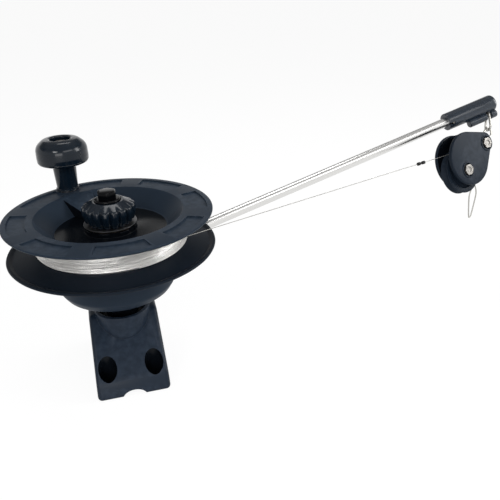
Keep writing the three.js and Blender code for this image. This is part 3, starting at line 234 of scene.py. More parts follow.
# %% Turn a profile of radius, height and corner radius round Z
def rounded(profile, steps=4):
    points = []
    count = len(profile)
    for i, (radius, height, *fillet) in enumerate(profile):
        here = Vector((radius, height))
        if not any(fillet) or i in (0, count - 1):
            points.append(here)
            continue
        before = Vector(profile[i - 1][:2]) - here
        after = Vector(profile[(i + 1) % count][:2]) - here
        corner = before.angle(after) / 2
        reach = min(fillet[0] / math.tan(corner), 0.49 * before.length, 0.49 * after.length)
        curve = reach * math.tan(corner)
        middle = (before.normalized() + after.normalized()).normalized()
        centre = here + middle * (curve / math.sin(corner))
        start = here + before.normalized() * reach - centre
        end = here + after.normalized() * reach - centre
        sweep = start.angle_signed(end)
        for step in range(steps + 1):
            points.append(centre + Matrix.Rotation(-sweep * step / steps, 2) @ start)
    return points


def trace(points):
    bpy.ops.object.select_all(action="DESELECT")
    bpy.ops.mesh.primitive_plane_add(size=1, location=(0, 0, 0))
    bpy.ops.object.mode_set(mode="EDIT")
    bpy.ops.mesh.select_all(action="SELECT")
    bpy.ops.mesh.merge(type="CENTER")
    bpy.ops.transform.translate(value=points[0])
    for before, after in zip(points, points[1:]):
        bpy.ops.mesh.extrude_region_move(TRANSFORM_OT_translate={"value": after - before})
    bpy.ops.mesh.select_all(action="SELECT")


def face_outwards():
    bpy.ops.mesh.select_all(action="SELECT")
    bpy.ops.mesh.normals_make_consistent(inside=False)
    bpy.ops.object.mode_set(mode="OBJECT")
    return bpy.context.object


def spin_profile(profile, sides=96, steps=4):
    trace([Vector((p.x, 0, p.y)) for p in rounded(profile, steps)])
    bpy.ops.mesh.spin(steps=sides, angle=2 * math.pi, center=(0, 0, 0), axis=(0, 0, 1))
    bpy.ops.mesh.select_all(action="SELECT")
    bpy.ops.mesh.remove_doubles(threshold=0.001)
    return face_outwards()


def closed(profile):
    return [*profile, profile[0]]


def rod(radius, bottom, top, sides=64, edge=0):
    return spin_profile([(0, bottom), (radius, bottom, edge), (radius, top, edge), (0, top)], sides)


def pipe(inner, outer, bottom, top, sides=64, edge=0.2):
    return spin_profile([
        (inner, (bottom + top) / 2), (inner, bottom, edge), (outer, bottom, edge),
        (outer, top, edge), (inner, top, edge), (inner, (bottom + top) / 2),
    ], sides)


def drill(piece, radius, bottom, top, sides=64, place=None):
    combine(piece, placed(rod(radius, bottom, top, sides), place))


# %% Extrude a flat outline upwards
def slab(outline, bottom, top):
    trace([Vector((x, y, bottom)) for x, y in outline])
    bpy.ops.mesh.edge_face_add()
    bpy.ops.mesh.extrude_region_move(TRANSFORM_OT_translate={"value": (0, 0, top - bottom)})
    return face_outwards()


def arc(radius, start, end, steps, centre=(0, 0)):
    return [(
        centre[0] + radius * math.cos(start + (end - start) * i / steps),
        centre[1] + radius * math.sin(start + (end - start) * i / steps),
    ) for i in range(steps + 1)]


def block(size, centre):
    bpy.ops.object.select_all(action="DESELECT")
    bpy.ops.mesh.primitive_cube_add(size=1, location=centre, scale=size)
    return placed(bpy.context.object)


# %% [markdown]
# ## The cable
# The cable is stranded stainless wire. It leaves the winding as a straight tangent, runs under the
# boom, passes over the sheave and hangs down to the snap. A tube follows its route point by point, and
# its own map counts the distance along it, so that the strands can twist round it.

# %% Make a wire of rings of points along a route
def wire(route, radius, sides=10, loop=False):
    mesh = bpy.data.meshes.new("wire")
    work = bmesh.new()
    uv_layer = work.loops.layers.uv.new("UVMap")
    count = len(route)
    rings = []
    across = None
    distances = [0.0]
    for i in range(1, count + 1):
        distances.append(distances[-1] + (route[i % count] - route[i - 1]).length)
    for i, point in enumerate(route):
        ahead = route[(i + 1) % count] if loop or i + 1 < count else point
        behind = route[i - 1] if loop or i > 0 else point
        way = (ahead - behind).normalized()
        if across is None:
            across = way.orthogonal().normalized()
        across = (across - way * across.dot(way)).normalized()
        beside = way.cross(across)
        rings.append([
            work.verts.new(point + radius * (
                across * math.cos(2 * math.pi * j / sides)
                + beside * math.sin(2 * math.pi * j / sides)
            )) for j in range(sides)
        ])
    for i in range(count if loop else count - 1):
        first, second = rings[i], rings[(i + 1) % count]
        offset = 0
        if loop and i == count - 1:
            offset = min(range(sides), key=lambda k: (second[k].co - first[0].co).length)
        for j in range(sides):
            k = (j + 1) % sides
            face = work.faces.new((
                first[j], first[k], second[(k + offset) % sides], second[(j + offset) % sides],
            ))
            marks = ((j, i), (j + 1, i), (j + 1, i + 1), (j, i + 1))
            for corner, (around, along) in zip(face.loops, marks):
                corner[uv_layer].uv = (around / sides, distances[along] * MM)
    if not loop:
        work.faces.new(list(reversed(rings[0])))
        work.faces.new(rings[-1])
    bmesh.ops.recalc_face_normals(work, faces=work.faces)
    work.to_mesh(mesh)
    work.free()
    piece = bpy.data.objects.new("wire", mesh)
    bpy.context.scene.collection.objects.link(piece)
    return piece


def smooth_route(points, steps, loop=False):
    count = len(points)
    route = []
    for i in range(count if loop else count - 1):
        a, b, c, d = (
            points[(i + k) % count] if loop else points[min(max(i + k, 0), count - 1)]
            for k in (-1, 0, 1, 2)
        )
        for step in range(steps):
            t = step / steps
            route.append(0.5 * (
                2 * b + (c - a) * t + (2 * a - 5 * b + 4 * c - d) * t ** 2
                + (3 * b - a - 3 * c + d) * t ** 3
            ))
    if not loop:
        route.append(points[-1].copy())
    return route


# %% Work out where the cable leaves the reel and meets the sheave
def tangent_angle(x, y, radius):
    return math.atan2(y, x) - math.acos(radius / math.hypot(x, y))


def on_sheave(angle):
    return axle_in_block + side_polar(rope_radius, angle)


axle_in_block = Vector((
    -axle_distance * math.sin(block_lean), 0, -axle_distance * math.cos(block_lean),
))
axle_place = block_frame @ axle_in_block
leave_angle = tangent_angle(axle_place.x, axle_place.y, winding_radius)
leave = polar(winding_radius, leave_angle, lower_inner + 19.8)
rope_radius = groove_radius + cable_radius + GAP
to_reel = block_frame.inverted() @ leave - axle_in_block
reel_angle = tangent_angle(to_reel.x, to_reel.z, rope_radius)
contact = block_frame @ on_sheave(reel_angle)
run_way = (contact - leave).normalized()
print("the cable leaves at", tuple(round(value, 1) for value in leave))

# %% [markdown]
# ## Finishes
# Three effects are shared. The moulded grain is the fine spark texture of the steel mould, which every
# plastic piece shows. The lighter edge is partly wear where hands and decks touch and partly a painted
# highlight on the rounded edges. The drawn lines are the marks that polishing leaves along a tube or
# round a bolt head. Each is a node group, so a finish only chooses their strength.

# %% Add nodes, do sums and spread or mix values
def feed(tree, value, socket):
    if isinstance(value, bpy.types.NodeSocket):
        tree.links.new(value, socket)
    else:
        socket.default_value = (*value, 1) if isinstance(value, tuple) else value


def add_node(tree, kind, settings=()):
    node = tree.nodes.new(kind)
    for name, value in dict(settings).items():
        if isinstance(name, str) and hasattr(node, name):
            setattr(node, name, value)
        else:
            feed(tree, value, node.inputs[name])
    return node


def sum_up(tree, operation, *values):
    settings = {"operation": operation, **dict(enumerate(values))}
    return add_node(tree, "ShaderNodeMath", settings).outputs[0]


def spread(tree, value, low, high, start=0.3, end=0.7):
    return add_node(tree, "ShaderNodeMapRange", {
        "Value": value, "From Min": start, "From Max": end, "To Min": low, "To Max": high,
    }).outputs["Result"]


def mix(tree, mask, first, second, kind="RGBA"):
    low, high, result = (6, 7, 2) if kind == "RGBA" else (2, 3, 0)
    node = add_node(tree, "ShaderNodeMix", {"data_type": kind, 0: mask, low: first, high: second})
    return node.outputs[result]


# %% Build the shared effects as node groups
def new_group(name, inputs, outputs):
    group = bpy.data.node_groups.new(name, "ShaderNodeTree")
    for label, value in inputs:
        socket = group.interface.new_socket(label, in_out="INPUT", socket_type="NodeSocketFloat")
        socket.default_value = value
    for label in outputs:
        group.interface.new_socket(label, in_out="OUTPUT", socket_type="NodeSocketFloat")
    place = add_node(group, "ShaderNodeTexCoord").outputs["Object"]
    inside = group.nodes.new("NodeGroupInput").outputs
    return group, place, inside, group.nodes.new("NodeGroupOutput").inputs


def noise(tree, place, **settings):
    named = {name.title(): value for name, value in settings.items()}
    return add_node(tree, "ShaderNodeTexNoise", {"Vector": place, **named}).outputs["Fac"]


def make_grain_group():
    group, place, inside, outside = new_group("moulded_grain", [("Scale", 2500.0)], ["Height", "Tone"])
    fine = noise(group, place, scale=inside["Scale"], detail=2.0, roughness=0.6)
    feed(group, fine, outside["Height"])
    feed(group, noise(group, place, scale=28.0, detail=3.0), outside["Tone"])
    return group


# Lightens convex edges: partly wear, partly a painted highlight.
def make_edge_wear_highlight_group():
    group, place, inside, outside = new_group("edge_wear_and_highlight", [("Amount", 1.0)], ["Mask"])
    pointiness = add_node(group, "ShaderNodeNewGeometry").outputs["Pointiness"]
    edge = spread(group, pointiness, 0.0, 1.0, 0.53, 0.64)
    broken = spread(group, noise(group, place, scale=160.0, detail=3.0), 0.0, 1.0, 0.35, 0.7)
    wear_and_highlight = sum_up(group, "MULTIPLY", sum_up(group, "MULTIPLY", edge, broken), inside["Amount"])
    feed(group, wear_and_highlight, outside["Mask"])
    return group


def make_lines_group():
    group, place, inside, outside = new_group(
        "drawn_lines", [("Along", 4.0), ("Across", 900.0), ("Rise", 0.0)], ["Height", "Tone"],
    )
    turn_by = add_node(group, "ShaderNodeCombineXYZ", {"Y": inside["Rise"]}).outputs[0]
    stretch = add_node(group, "ShaderNodeCombineXYZ", {
        "X": inside["Along"], "Y": inside["Across"], "Z": inside["Across"],
    }).outputs[0]
    straight = add_node(group, "ShaderNodeMapping", {"Vector": place, "Rotation": turn_by}).outputs[0]
    stretched = add_node(group, "ShaderNodeVectorMath", {
        "operation": "MULTIPLY", 0: straight, 1: stretch,
    }).outputs[0]
    lines = noise(group, stretched, scale=1.0, detail=4.0)
    for label in ("Height", "Tone"):
        feed(group, lines, outside[label])
    return group


grain_group, edge_wear_highlight_group, lines_group = make_grain_group(), make_edge_wear_highlight_group(), make_lines_group()
print("shared effects:", grain_group.name, edge_wear_highlight_group.name, lines_group.name)


# %% Start a material, place an effect in it and dress its shader
def new_material(name):
    material = bpy.data.materials.new(name)
    material.use_nodes = True
    tree = material.node_tree
    return material, tree, tree.nodes["Principled BSDF"]


def use_group(tree, group, **values):
    return add_node(tree, "ShaderNodeGroup", {"node_tree": group, **values}).outputs


def shade(colour, factor):
    return tuple(channel * factor for channel in colour)


def dress(tree, shader, colour, roughness, height, strength, depth, metallic=0.0):
    values = {"Base Color": colour, "Roughness": roughness, "Metallic": metallic}
    if depth:
        bump = {"Strength": strength, "Distance": depth, "Height": height}
        values["Normal"] = add_node(tree, "ShaderNodeBump", bump).outputs["Normal"]
    for name, value in values.items():
        feed(tree, value, shader.inputs[name])


# %% [markdown]
# ### Plastic
# The reel, the cup, the bracket, the sleeve and the pulley block are glass-filled plastic: a dark
# blue-grey with a dull sheen. The lower flange gets a darker copy of it, which is painted shade. The
# knobs and the hex cap come from smoother moulds. The post is black, polished plastic, and the same black
# is painted as shade on the floor of the dish, on the hub, in the screw seats and on the rear cheek's
# inner face. One function makes them all, with a colour that drifts a little over the piece, grain in
# the bump and the roughness, and paler edges that are partly wear and partly a painted highlight.

# %% Make the plastics
def plastic_material(name, colour, roughness, sheen_level, grain=2500.0, depth=0.00002, wear_and_highlight=0.5):
    material, tree, shader = new_material(name)
    texture = use_group(tree, grain_group, Scale=grain)
    # Edges turn paler by the mask: partly wear, partly a painted highlight.
    edges = use_group(tree, edge_wear_highlight_group, Amount=wear_and_highlight)
    body = mix(tree, texture["Tone"], shade(colour, 0.88), shade(colour, 1.12))
    pale = tuple(channel * 1.8 + 0.010 for channel in colour)
    dress(
        tree, shader, mix(tree, edges["Mask"], body, pale),
        spread(tree, texture["Tone"], roughness - 0.04, roughness + 0.04),
        texture["Height"], 0.5, depth,
    )
    shader.inputs["Specular IOR Level"].default_value = sheen_level
    return material


reel_plastic = plastic_material("reel_plastic", (0.0200, 0.0305, 0.0465), 0.42, 0.07)
# A darker copy of the reel plastic for the lower flange: painted shade.
shaded_reel_plastic = plastic_material("shaded_reel_plastic", (0.0080, 0.0125, 0.0200), 0.44, 0.05)
bracket_plastic = plastic_material(
    "bracket_plastic", (0.0090, 0.0165, 0.0295), 0.40, 0.18, grain=1800.0, depth=0.00003,
)
sleeve_plastic = plastic_material("sleeve_plastic", (0.0120, 0.0195, 0.0310), 0.24, 0.55, grain=2600.0)
block_plastic = plastic_material("block_plastic", (0.0095, 0.0155, 0.0250), 0.44, 0.08)
knob_plastic = plastic_material(
    "knob_plastic", (0.0036, 0.0085, 0.0155), 0.15, 0.30, grain=3000.0, depth=0.00001, wear_and_highlight=0.2,
)
cap_plastic = plastic_material(
    "cap_plastic", (0.0015, 0.0018, 0.0026), 0.15, 0.10, grain=3000.0, depth=0.000004, wear_and_highlight=0.1,
)
# Black polished plastic for the post, also used as painted shade on the dish floor, the hub, the screw
# seats and the rear cheek's inner face.
black_and_shade_plastic = plastic_material(
    "black_and_shade_plastic", (0.0026, 0.0038, 0.0058), 0.18, 0.10, depth=0.00001, wear_and_highlight=0.1,
)
bead_rubber = plastic_material(
    "bead_rubber", (0.0060, 0.0062, 0.0066), 0.62, 0.3, grain=1500.0, depth=0.00004, wear_and_highlight=0.1,
)
print("plastics made:", len([m for m in bpy.data.materials if "plastic" in m.name]))

# %% [markdown]
# ### Metals
# The boom is polished stainless tube, whose faint lines run along it. The bolts, the link and the snap
# are the same steel with a coarser finish. The wound cable is stranded, so its own map turns the strands
# round it, while the thin run and tail are plain. The bushes are sintered bronze, with pores, and the
# linings are pressed fibre.

# %% Make the metals, the cable and the lining
def steel_material(name, colour, roughness, along, across, rise=0.0, depth=0.000008, vary=1.0):
    material, tree, shader = new_material(name)
    lines = use_group(tree, lines_group, Along=along, Across=across, Rise=rise)
    dark, light = shade(colour, 1 - 0.10 * vary), shade(colour, 1 + 0.06 * vary)
    smooth, rough = roughness * (1 - 0.2 * vary), roughness * (1 + 0.3 * vary)
    dress(
        tree, shader, mix(tree, lines["Tone"], dark, light),
        spread(tree, lines["Tone"], smooth, rough), lines["Height"], 0.35, depth, 1.0,
    )
    return material


def cable_material(strand_count=6, twists=150.0):
    material, tree, shader = new_material("cable_strand")
    place = add_node(tree, "ShaderNodeUVMap", {"uv_map": "UVMap"}).outputs["UV"]
    parts = add_node(tree, "ShaderNodeSeparateXYZ", {"Vector": place}).outputs
    twist = sum_up(tree, "ADD", parts["X"], sum_up(tree, "MULTIPLY", parts["Y"], twists))
    wave = sum_up(tree, "SINE", sum_up(tree, "MULTIPLY", twist, strand_count * 2 * math.pi))
    strands = spread(tree, wave, 0.0, 1.0, -1.0, 1.0)
    dress(
        tree, shader, mix(tree, strands, (0.72, 0.71, 0.69), (0.95, 0.94, 0.92)),
        spread(tree, strands, 0.42, 0.26, 0.0, 1.0), strands, 0.3, 0.0001, 1.0,
    )
    return material


def pitted_material(name, colour, roughness, metallic, scale, depth):
    material, tree, shader = new_material(name)
    pits = use_group(tree, grain_group, Scale=scale)["Height"]
    dress(
        tree, shader, mix(tree, pits, shade(colour, 0.7), shade(colour, 1.2)),
        spread(tree, pits, roughness + 0.1, roughness - 0.1), pits, 0.5, depth, metallic,
    )
    return material


boom_steel = steel_material("boom_steel", (0.72, 0.715, 0.70), 0.26, 2.0, 150.0, boom_rise, 0, 0.4)
bolt_steel = steel_material("bolt_steel", (0.25, 0.24, 0.225), 0.46, 700.0, 700.0)
dark_steel = steel_material("dark_steel", (0.13, 0.13, 0.135), 0.34, 500.0, 500.0)
run_steel = steel_material("run_steel", (0.40, 0.39, 0.37), 0.50, 300.0, 300.0, depth=0, vary=0.4)
wire_steel = steel_material("wire_steel", (0.42, 0.41, 0.385), 0.36, 300.0, 300.0, depth=0, vary=0.5)
cable_steel = cable_material()
bush_bronze = pitted_material("bush_bronze", (0.45, 0.28, 0.12), 0.42, 1.0, 2200.0, 0.00003)
lining_fibre = pitted_material("lining_fibre", (0.045, 0.032, 0.024), 0.85, 0.0, 900.0, 0.0001)
print("metals made:", len([m for m in bpy.data.materials if "steel" in m.name]))

# %% [markdown]
# ### Carried-over nodes
# Nodes that nobody can see from outside, such as the shaft, the bushes and the screws, stay as they
# are and only get their finish.

# %% Give each carried-over node its finish
screws = [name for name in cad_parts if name.startswith(("frame_screw", "spool_screw"))]
node_finishes = {
    bolt_steel: ["main_shaft", "boom_bolt", "boom_nut", "disc_spring", "sleeve_pin", "link_pin", *screws],
    bush_bronze: ["lower_bush", "upper_bush", "knob_insert", "sheave_bush"],
    lining_fibre: ["lower_brake_lining", "upper_brake_lining"],
}
for material, names in node_finishes.items():
    for name in names:
        paint(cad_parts[name], material)
print("carried over:", sum(len(names) for names in node_finishes.values()))

# %% [markdown]
# ## Cable, crimp and snap
# The straight run rides with the frame, and the tail that lies on the sheave rides with the block. The
# snap is a long loop of spring wire, which holds the ring of the weight.

# %% Make the straight run and its stop beads
def mirrored(profile):
    return closed([*profile, *((radius, -height, *edge) for radius, height, *edge in reversed(profile))])


steps = 60
run_end = contact - run_way * GAP
route = [leave.lerp(run_end, i / steps) for i in range(steps + 1)]
run = wire(route, cable_radius, 12)
finish_piece(run, "cable_straight", "frame", ["cable_run"], run_steel)

stop_half, stop_radius, stop_bore = 6.3, 2.1, cable_radius + GAP
waist_half, waist_radius = 1.6, 1.1
half_stop = [
    (stop_bore, -stop_half), (stop_radius, -stop_half, 1.3), (stop_radius, -waist_half, 1.1),
    (waist_radius, -waist_half, 0.3),
]

beads = spin_profile(mirrored(half_stop), 40)
towards = Vector((0, 0, 1)).rotation_difference(run_way).to_matrix().to_4x4()
stop_place = Matrix.Translation(leave.lerp(contact, 0.862)) @ towards
finish_piece(beads, "stop_beads", "frame", ["cable_stop"], bead_rubber, stop_place)
print("run of cable:", round((run_end - leave).length, 1), "mm")

# %% Make the tail over the sheave
tail_drop = 15
tail_points = [on_sheave(reel_angle * (1 - i / 20)) for i in range(21)]
hang = on_sheave(0)
tail_points += [hang - Vector((0, 0, tail_drop * share)) for share in (0.25, 0.5, 0.75, 1)]
tail = wire(smooth_route(tail_points, 4), cable_radius, 12)
finish_piece(tail, "cable_over_sheave", "block", ["cable_tail"], run_steel, block_frame)

# %% Make the crimp and the snap
snap_place = block_frame @ (hang - Vector((0, 0, tail_drop + GAP)))
snap_frame = Matrix.Translation(snap_place) @ turned(12, "Z")
crimp_radius, crimp_end = 1.6, -8
crimp = spin_profile([
    (0, crimp_end), (0.35, crimp_end, 0.2), (crimp_radius, -6.75, 0.3), (crimp_radius, -5.6, 0.2),
    (1.25, -5, 0.3), (1.25, -3, 0.3), (crimp_radius, -2.4, 0.3), (crimp_radius, 0, 0.5), (0, 0),
], 32)
finish_piece(crimp, "crimp_sleeve", "block", ["cable_crimp"], bolt_steel, snap_frame)

snap_wire, snap_length, snap_half = 0.9, 47, 6.8
snap_top = crimp_end - snap_wire - GAP
snap_shares = [
    (0, 0), (0.45, 0.05), (0.9, 0.2), (1, 0.36), (0.66, 0.7), (0.3, 0.96),
    (0, 1), (-0.3, 0.96), (-0.66, 0.7), (-1, 0.36), (-0.9, 0.2), (-0.45, 0.05),
]
snap_points = [
    Vector((across * snap_half, 0, snap_top - down * snap_length)) for across, down in snap_shares
]
snap = wire(smooth_route(snap_points, 8, True), snap_wire, 12, True)
finish_piece(snap, "wire_snap", "snap", ["cable_snap"], wire_steel, snap_frame)
print("snap hangs to", round(snap.bound_box[0][2], 4), "m")

# %% [markdown]
# ## Bracket
# The bracket is a hollow wedge with a round barrel for the post. A slab gets the side outline, the edges
# of its slope are rounded, and it is widened towards its foot. Then the barrel is joined, the socket,
# the screw seats and the arch are cut, and a thin bead is laid along the seam of barrel and wedge.

# %% Shape the wedge
upright = Matrix(((0, 0, 1, 0), (1, 0, 0, 0), (0, 1, 0, 0), (0, 0, 0, 1)))
half = bracket_width / 2
shoulder = bracket_height - 4
wall_thickness, slope_rounding = 5, 4.5
hole_sides, seat_y, seat_radius = (-26, 26), -54, 10.5
wedge = placed(slab([
    (-71, 0), (-65, 20), (-9, shoulder), (31, shoulder), (36, shoulder - 5), (36, 12), (56, 12), (56, 0),
], -half, half), upright)
select_only(wedge)
for edge in wedge.data.edges:
    ends = [wedge.data.vertices[i].co for i in edge.vertices]
    edge.select = all(abs(end.x) > half - 0.1 and end.y < 35 for end in ends)
bpy.ops.object.mode_set(mode="EDIT")
bpy.ops.mesh.select_mode(type="EDGE")
bpy.ops.mesh.bevel(offset=slope_rounding, segments=6, affect="EDGES")
bpy.ops.mesh.select_mode(type="VERT")
bpy.ops.object.mode_set(mode="OBJECT")
bevel_edges(wedge, 1.8, 3, 25)
for vertex in wedge.data.vertices:
    depth_share = 1 - vertex.co.z / bracket_height
    vertex.co.x *= 1 + 2 * bracket_flare * depth_share / bracket_width
hollow = placed(slab([
    (-61, -5), (-61, 16.93), (-6.93, shoulder - 5), (31, shoulder - 5), (31, -5),
], -half + wall_thickness, half - wall_thickness), upright)
drill(hollow, barrel_radius, -10, bracket_height)
combine(hollow, block((wall_thickness, 160, 160), (0, -80, 0)))
for x in hole_sides:
    drill(hollow, 14.5, -10, 80, place=shift(x, seat_y))
combine(wedge, hollow)
print("wedge:", len(wedge.data.polygons), "faces")

# %% Join the barrel and cut the socket, the screw seats and the arch
# Paints the chosen faces with the near-black plastic as painted shade.
def paint_shade_black(piece, chosen):
    piece.data.materials.append(black_and_shade_plastic)
    for face in piece.data.polygons:
        face.material_index = int(chosen(face.center / MM, face.normal))


combine(wedge, rod(barrel_radius, 0.5, bracket_height, 96, 1.2), "UNION")
for x in hole_sides:
    for y, wide, floor_height, top in ((seat_y, seat_radius, 9, 80), (46, 8, 8, 20)):
        for radius, bottom in ((wide, floor_height), (4.2, -5)):
            drill(wedge, radius, bottom, top, 56, shift(x, y))
drill(wedge, socket_radius, socket_floor, bracket_height + 5, 96)
drill(wedge, 13, 0, 19, 64, shift(y=-57) @ Matrix.Diagonal((1, 1, 7.5 / 13, 1)) @ along_y)
bevel_edges(wedge, 0.8, 3, 32)
seam = [
    Vector((x, y, min(y + 85, shoulder) + 0.1))
    for x, y in arc(barrel_radius + 0.2, math.radians(-165), math.radians(-15), 48)
]
join_pieces(wedge, wire(seam, 0.7, 10))
finish_piece(
    wedge, "deck_bracket", "bracket", ["mounting_bracket"], bracket_plastic, bracket_turn,
)
seats = [(bracket_turn @ Vector((x, seat_y, 0))).xy for x in hole_sides]
# Painted shade: the inside of each screw seat is painted near-black.
paint_shade_black(wedge, lambda centre, normal: centre.z > 8 and any(
    (centre.xy - seat).length < seat_radius + 0.1 for seat in seats
))
print("bracket:", len(wedge.data.polygons), "faces")

# %% [markdown]
# ## Post and cup
# The post stands in the barrel and carries the cup, a shallow bowl that closes the reel from below and
# holds the boom in a moulded socket at its back.

# %% Turn the post
post_radius, post_bottom, bore_top = socket_radius - GAP, socket_floor + GAP, post_shoulder - 9
post = spin_profile([
    (0, bore_top), (21, bore_top, 1), (21, post_bottom), (post_radius, post_bottom, 1.2),
    (post_radius, post_shoulder, 0.8), (neck_radius, post_shoulder, 1), (neck_radius, post_top, 0.3),
    (0, post_top),
], 96)
screw_places = [Matrix.Translation(polar(screw_circle, (i + 0.5) * math.pi / 2)) for i in range(4)]
for place in screw_places:
    drill(post, 2.3, 92, post_top + 5, 24, place)
finish_piece(post, "swivel_post", "frame", ["mounting_post"], black_and_shade_plastic)

# %% Turn the cup and join the boom's socket
cup = spin_profile([
    (0, cup_bottom + 3), (neck_radius, cup_bottom + 3), (57.7, cup_bottom + 12, 3),
    (59.4, cup_bottom + 16.5, 4), (59.4, cup_top, 0.8), (cup_radius, cup_top, 0.8),
    (cup_radius, cup_bottom + 15, 7), (59.5, cup_bottom + 5.5, 6), (neck_radius, cup_bottom, 1),
    (0, cup_bottom),
], 128)
combine(cup, placed(rod(11, -32, 84, 72, 1.2), boom_frame @ along_x), "UNION")
drill(cup, boom_radius + GAP, boom_start - GAP, 90, 64, boom_frame @ along_x)
bolt_along = 18
for side in (-1, 1):
    combine(cup, placed(block((10.3, 10.3, 5), (bolt_along, 0, side * 12.5)), boom_frame))
drill(cup, 2.8, -22, 22, 32, boom_frame @ shift(x=bolt_along))
for place in screw_places:
    drill(cup, 2.3, 95, cup_bottom + 3.3, 24, place)
bevel_edges(cup, 0.5, 2, 32)
finish_piece(cup, "reel_cup", "frame", ["frame_cup"], reel_plastic)
print("cup:", len(cup.data.polygons), "faces")

# %% [markdown]
# ## Reel
# Both flanges are dished so that the cable always slides back to the middle. The upper one has eight
# shallow pockets round its band, a hub with eight thumb recesses and an arm that carries the crank.

# %% Turn the upper flange and cut its pockets
floor_under = dish_floor - 3
flange = spin_profile(closed([
    (bush_bore, floor_under), (63, floor_under, 4), (band_inner, rim_height - 4.5, 3),
    (108, rim_height - 3.7, 2), (111.6, rim_height - 3, 1), (rim_radius, rim_height - 1.6, 0.8),
    (rim_radius, rim_height, 1.2), (band_edge, rim_height, 0.8),
    (band_edge - 1.8, rim_height - 1.6, 0.6), (dish_radius, dish_floor, 4),
    (hub_radius, dish_floor, 0.6), (hub_radius, hub_top, 0.8), (bush_bore, hub_top),
]), 192)
pocket_arc = math.radians(31)
for i in range(8):
    middle = math.radians(43 + 45 * i)
    start, end = middle - pocket_arc / 2, middle + pocket_arc / 2
    outline = [*arc(107, start, end, 24), *arc(88.5, end, start, 24)]
    combine(flange, slab(outline, rim_height - 1.5, rim_height + 5))
print("flange:", len(flange.data.polygons), "faces")

# %% Add the crank's arm and boss, and cut the hub's recesses
arm_arc = math.radians(27)
arm = slab([
    *arc(86, -arm_arc / 2, arm_arc / 2, 12), *arc(27.5, arm_arc / 2, -arm_arc / 2, 6),
], dish_floor - 2, rim_height + 5)
select_only(arm)
bpy.ops.object.mode_set(mode="EDIT")
for plane_point, plane_normal in (
    ((27.5, 0, dish_floor + 4), (-15.5, 0, 56.5)), ((84, 0, rim_height), (0, 0, 1)),
    ((60, 0, dish_floor - 2), (15, 0, -24)),
):
    bpy.ops.mesh.select_all(action="SELECT")
    bpy.ops.mesh.bisect(
        plane_co=plane_point, plane_no=Vector(plane_normal).normalized(),
        use_fill=True, clear_outer=True,
    )
bpy.ops.object.mode_set(mode="OBJECT")
combine(flange, placed(arm, Matrix.Rotation(crank_angle, 4, "Z")), "UNION")
over_boss = shift(crank_place.x, crank_place.y)
combine(flange, placed(rod(14, rim_height - 4, rim_height), over_boss), "UNION")
drill(flange, crank_bore, rim_height - 15, rim_height + 5, 32, over_boss)
for i in range(8):
    recess = block((2.8, math.pi * hub_radius / 8, 5), (hub_radius, 0, hub_top - 1.5))
    combine(flange, placed(recess, turned(45 * i, "Z")))
bevel_edges(flange, 0.5, 2, 32)
finish_piece(flange, "reel_upper_flange", "spool", ["upper_flange"], reel_plastic)
# Painted shade: the dish floor and the hub under the knob are painted near-black.
paint_shade_black(flange, lambda centre, normal: (
    math.hypot(centre.x, centre.y) < dish_radius - 1 and floor_under + 2 < centre.z < hub_top + 0.1
))
print("upper flange:", len(flange.data.polygons), "faces")

# %% Turn the lower flange
lower = spin_profile(closed([
    (bush_bore, lower_inner - 13.7), (24, lower_inner - 13.7, 0.8), (24, lower_inner - 3, 1),
    (band_inner, lower_inner - 3, 6), (109.2, lower_rim_height - 3.5, 1),
    (113.2, lower_rim_height - 3, 0.5), (lower_rim_radius, lower_rim_height - 1.6, 0.4),
    (113.2, lower_rim_height, 0.5), (110.8, lower_rim_height, 0.5),
    (107.6, lower_rim_height - 1.6, 1), (band_inner, lower_inner, 6), (60, lower_inner, 0.6),
    (60, floor_under - GAP), (54, floor_under - GAP), (54, lower_inner), (bush_bore, lower_inner),
]), 192)
# The lower flange gets the darker copy of the reel plastic as painted shade.
finish_piece(lower, "reel_lower_flange", "spool", ["lower_flange"], shaded_reel_plastic)

# %% [markdown]
# ## Winding
# The cable lies on the reel in close turns, crossed here and there by a turn that was laid at a slant.
# The top layer is one unbroken helix, and a second, looser strand wanders over it, as a hand-cranked
# reel leaves it. A plain core under them stands for the layers beneath.

# %% Wind the cable
def coil(turns, radius_at, height_at, turn_steps=72):
    points = []
    for i in range(turns * turn_steps + 1):
        share = i / (turns * turn_steps)
        wound = share * turns * 2 * math.pi
        angle = leave_angle + wound
        points.append(polar(radius_at(angle), angle, height_at(share, wound, angle)))
    return wire(points, cable_radius, 8)


top_layer = coil(
    17, lambda angle: winding_radius - 0.35 + 0.18 * math.sin(5.3 * angle) * math.sin(0.37 * angle),
    lambda share, wound, angle: lower_inner + 1.3 + share * 16.6 + 0.14 * math.sin(2.7 * angle + 1.3),
)
second_layer = coil(
    6, lambda angle: winding_radius + 0.05 + 0.28 * math.cos(3.1 * angle),
    lambda share, wound, angle: lower_inner + 10 + 7.6 * math.sin(wound * 0.83) * (0.55 + 0.45 * share),
)
core_low, core_high = lower_inner + GAP, floor_under - 2 * GAP
core = spin_profile(closed([
    (60.3, core_low), (82.2, core_low, 0.3), (82.2, core_high + 13, 0.3), (63, core_high),
    (60.3, core_high),
]), 128)
join_pieces(top_layer, second_layer, core)
finish_piece(
    top_layer, "wound_cable", "spool", ["cable_winding", "winding_core"], cable_steel,
)
print("winding:", len(top_layer.data.polygons), "faces")

# %% [markdown]
# ## Brake
# Turning the lobed knob presses a plate on the lining and so brakes the reel. The lobes can't come from
# a spin, so the turned knob's points are moved in code: each lobe is a round shoulder between two
# narrow grooves, and the grooves fade out on the dome.

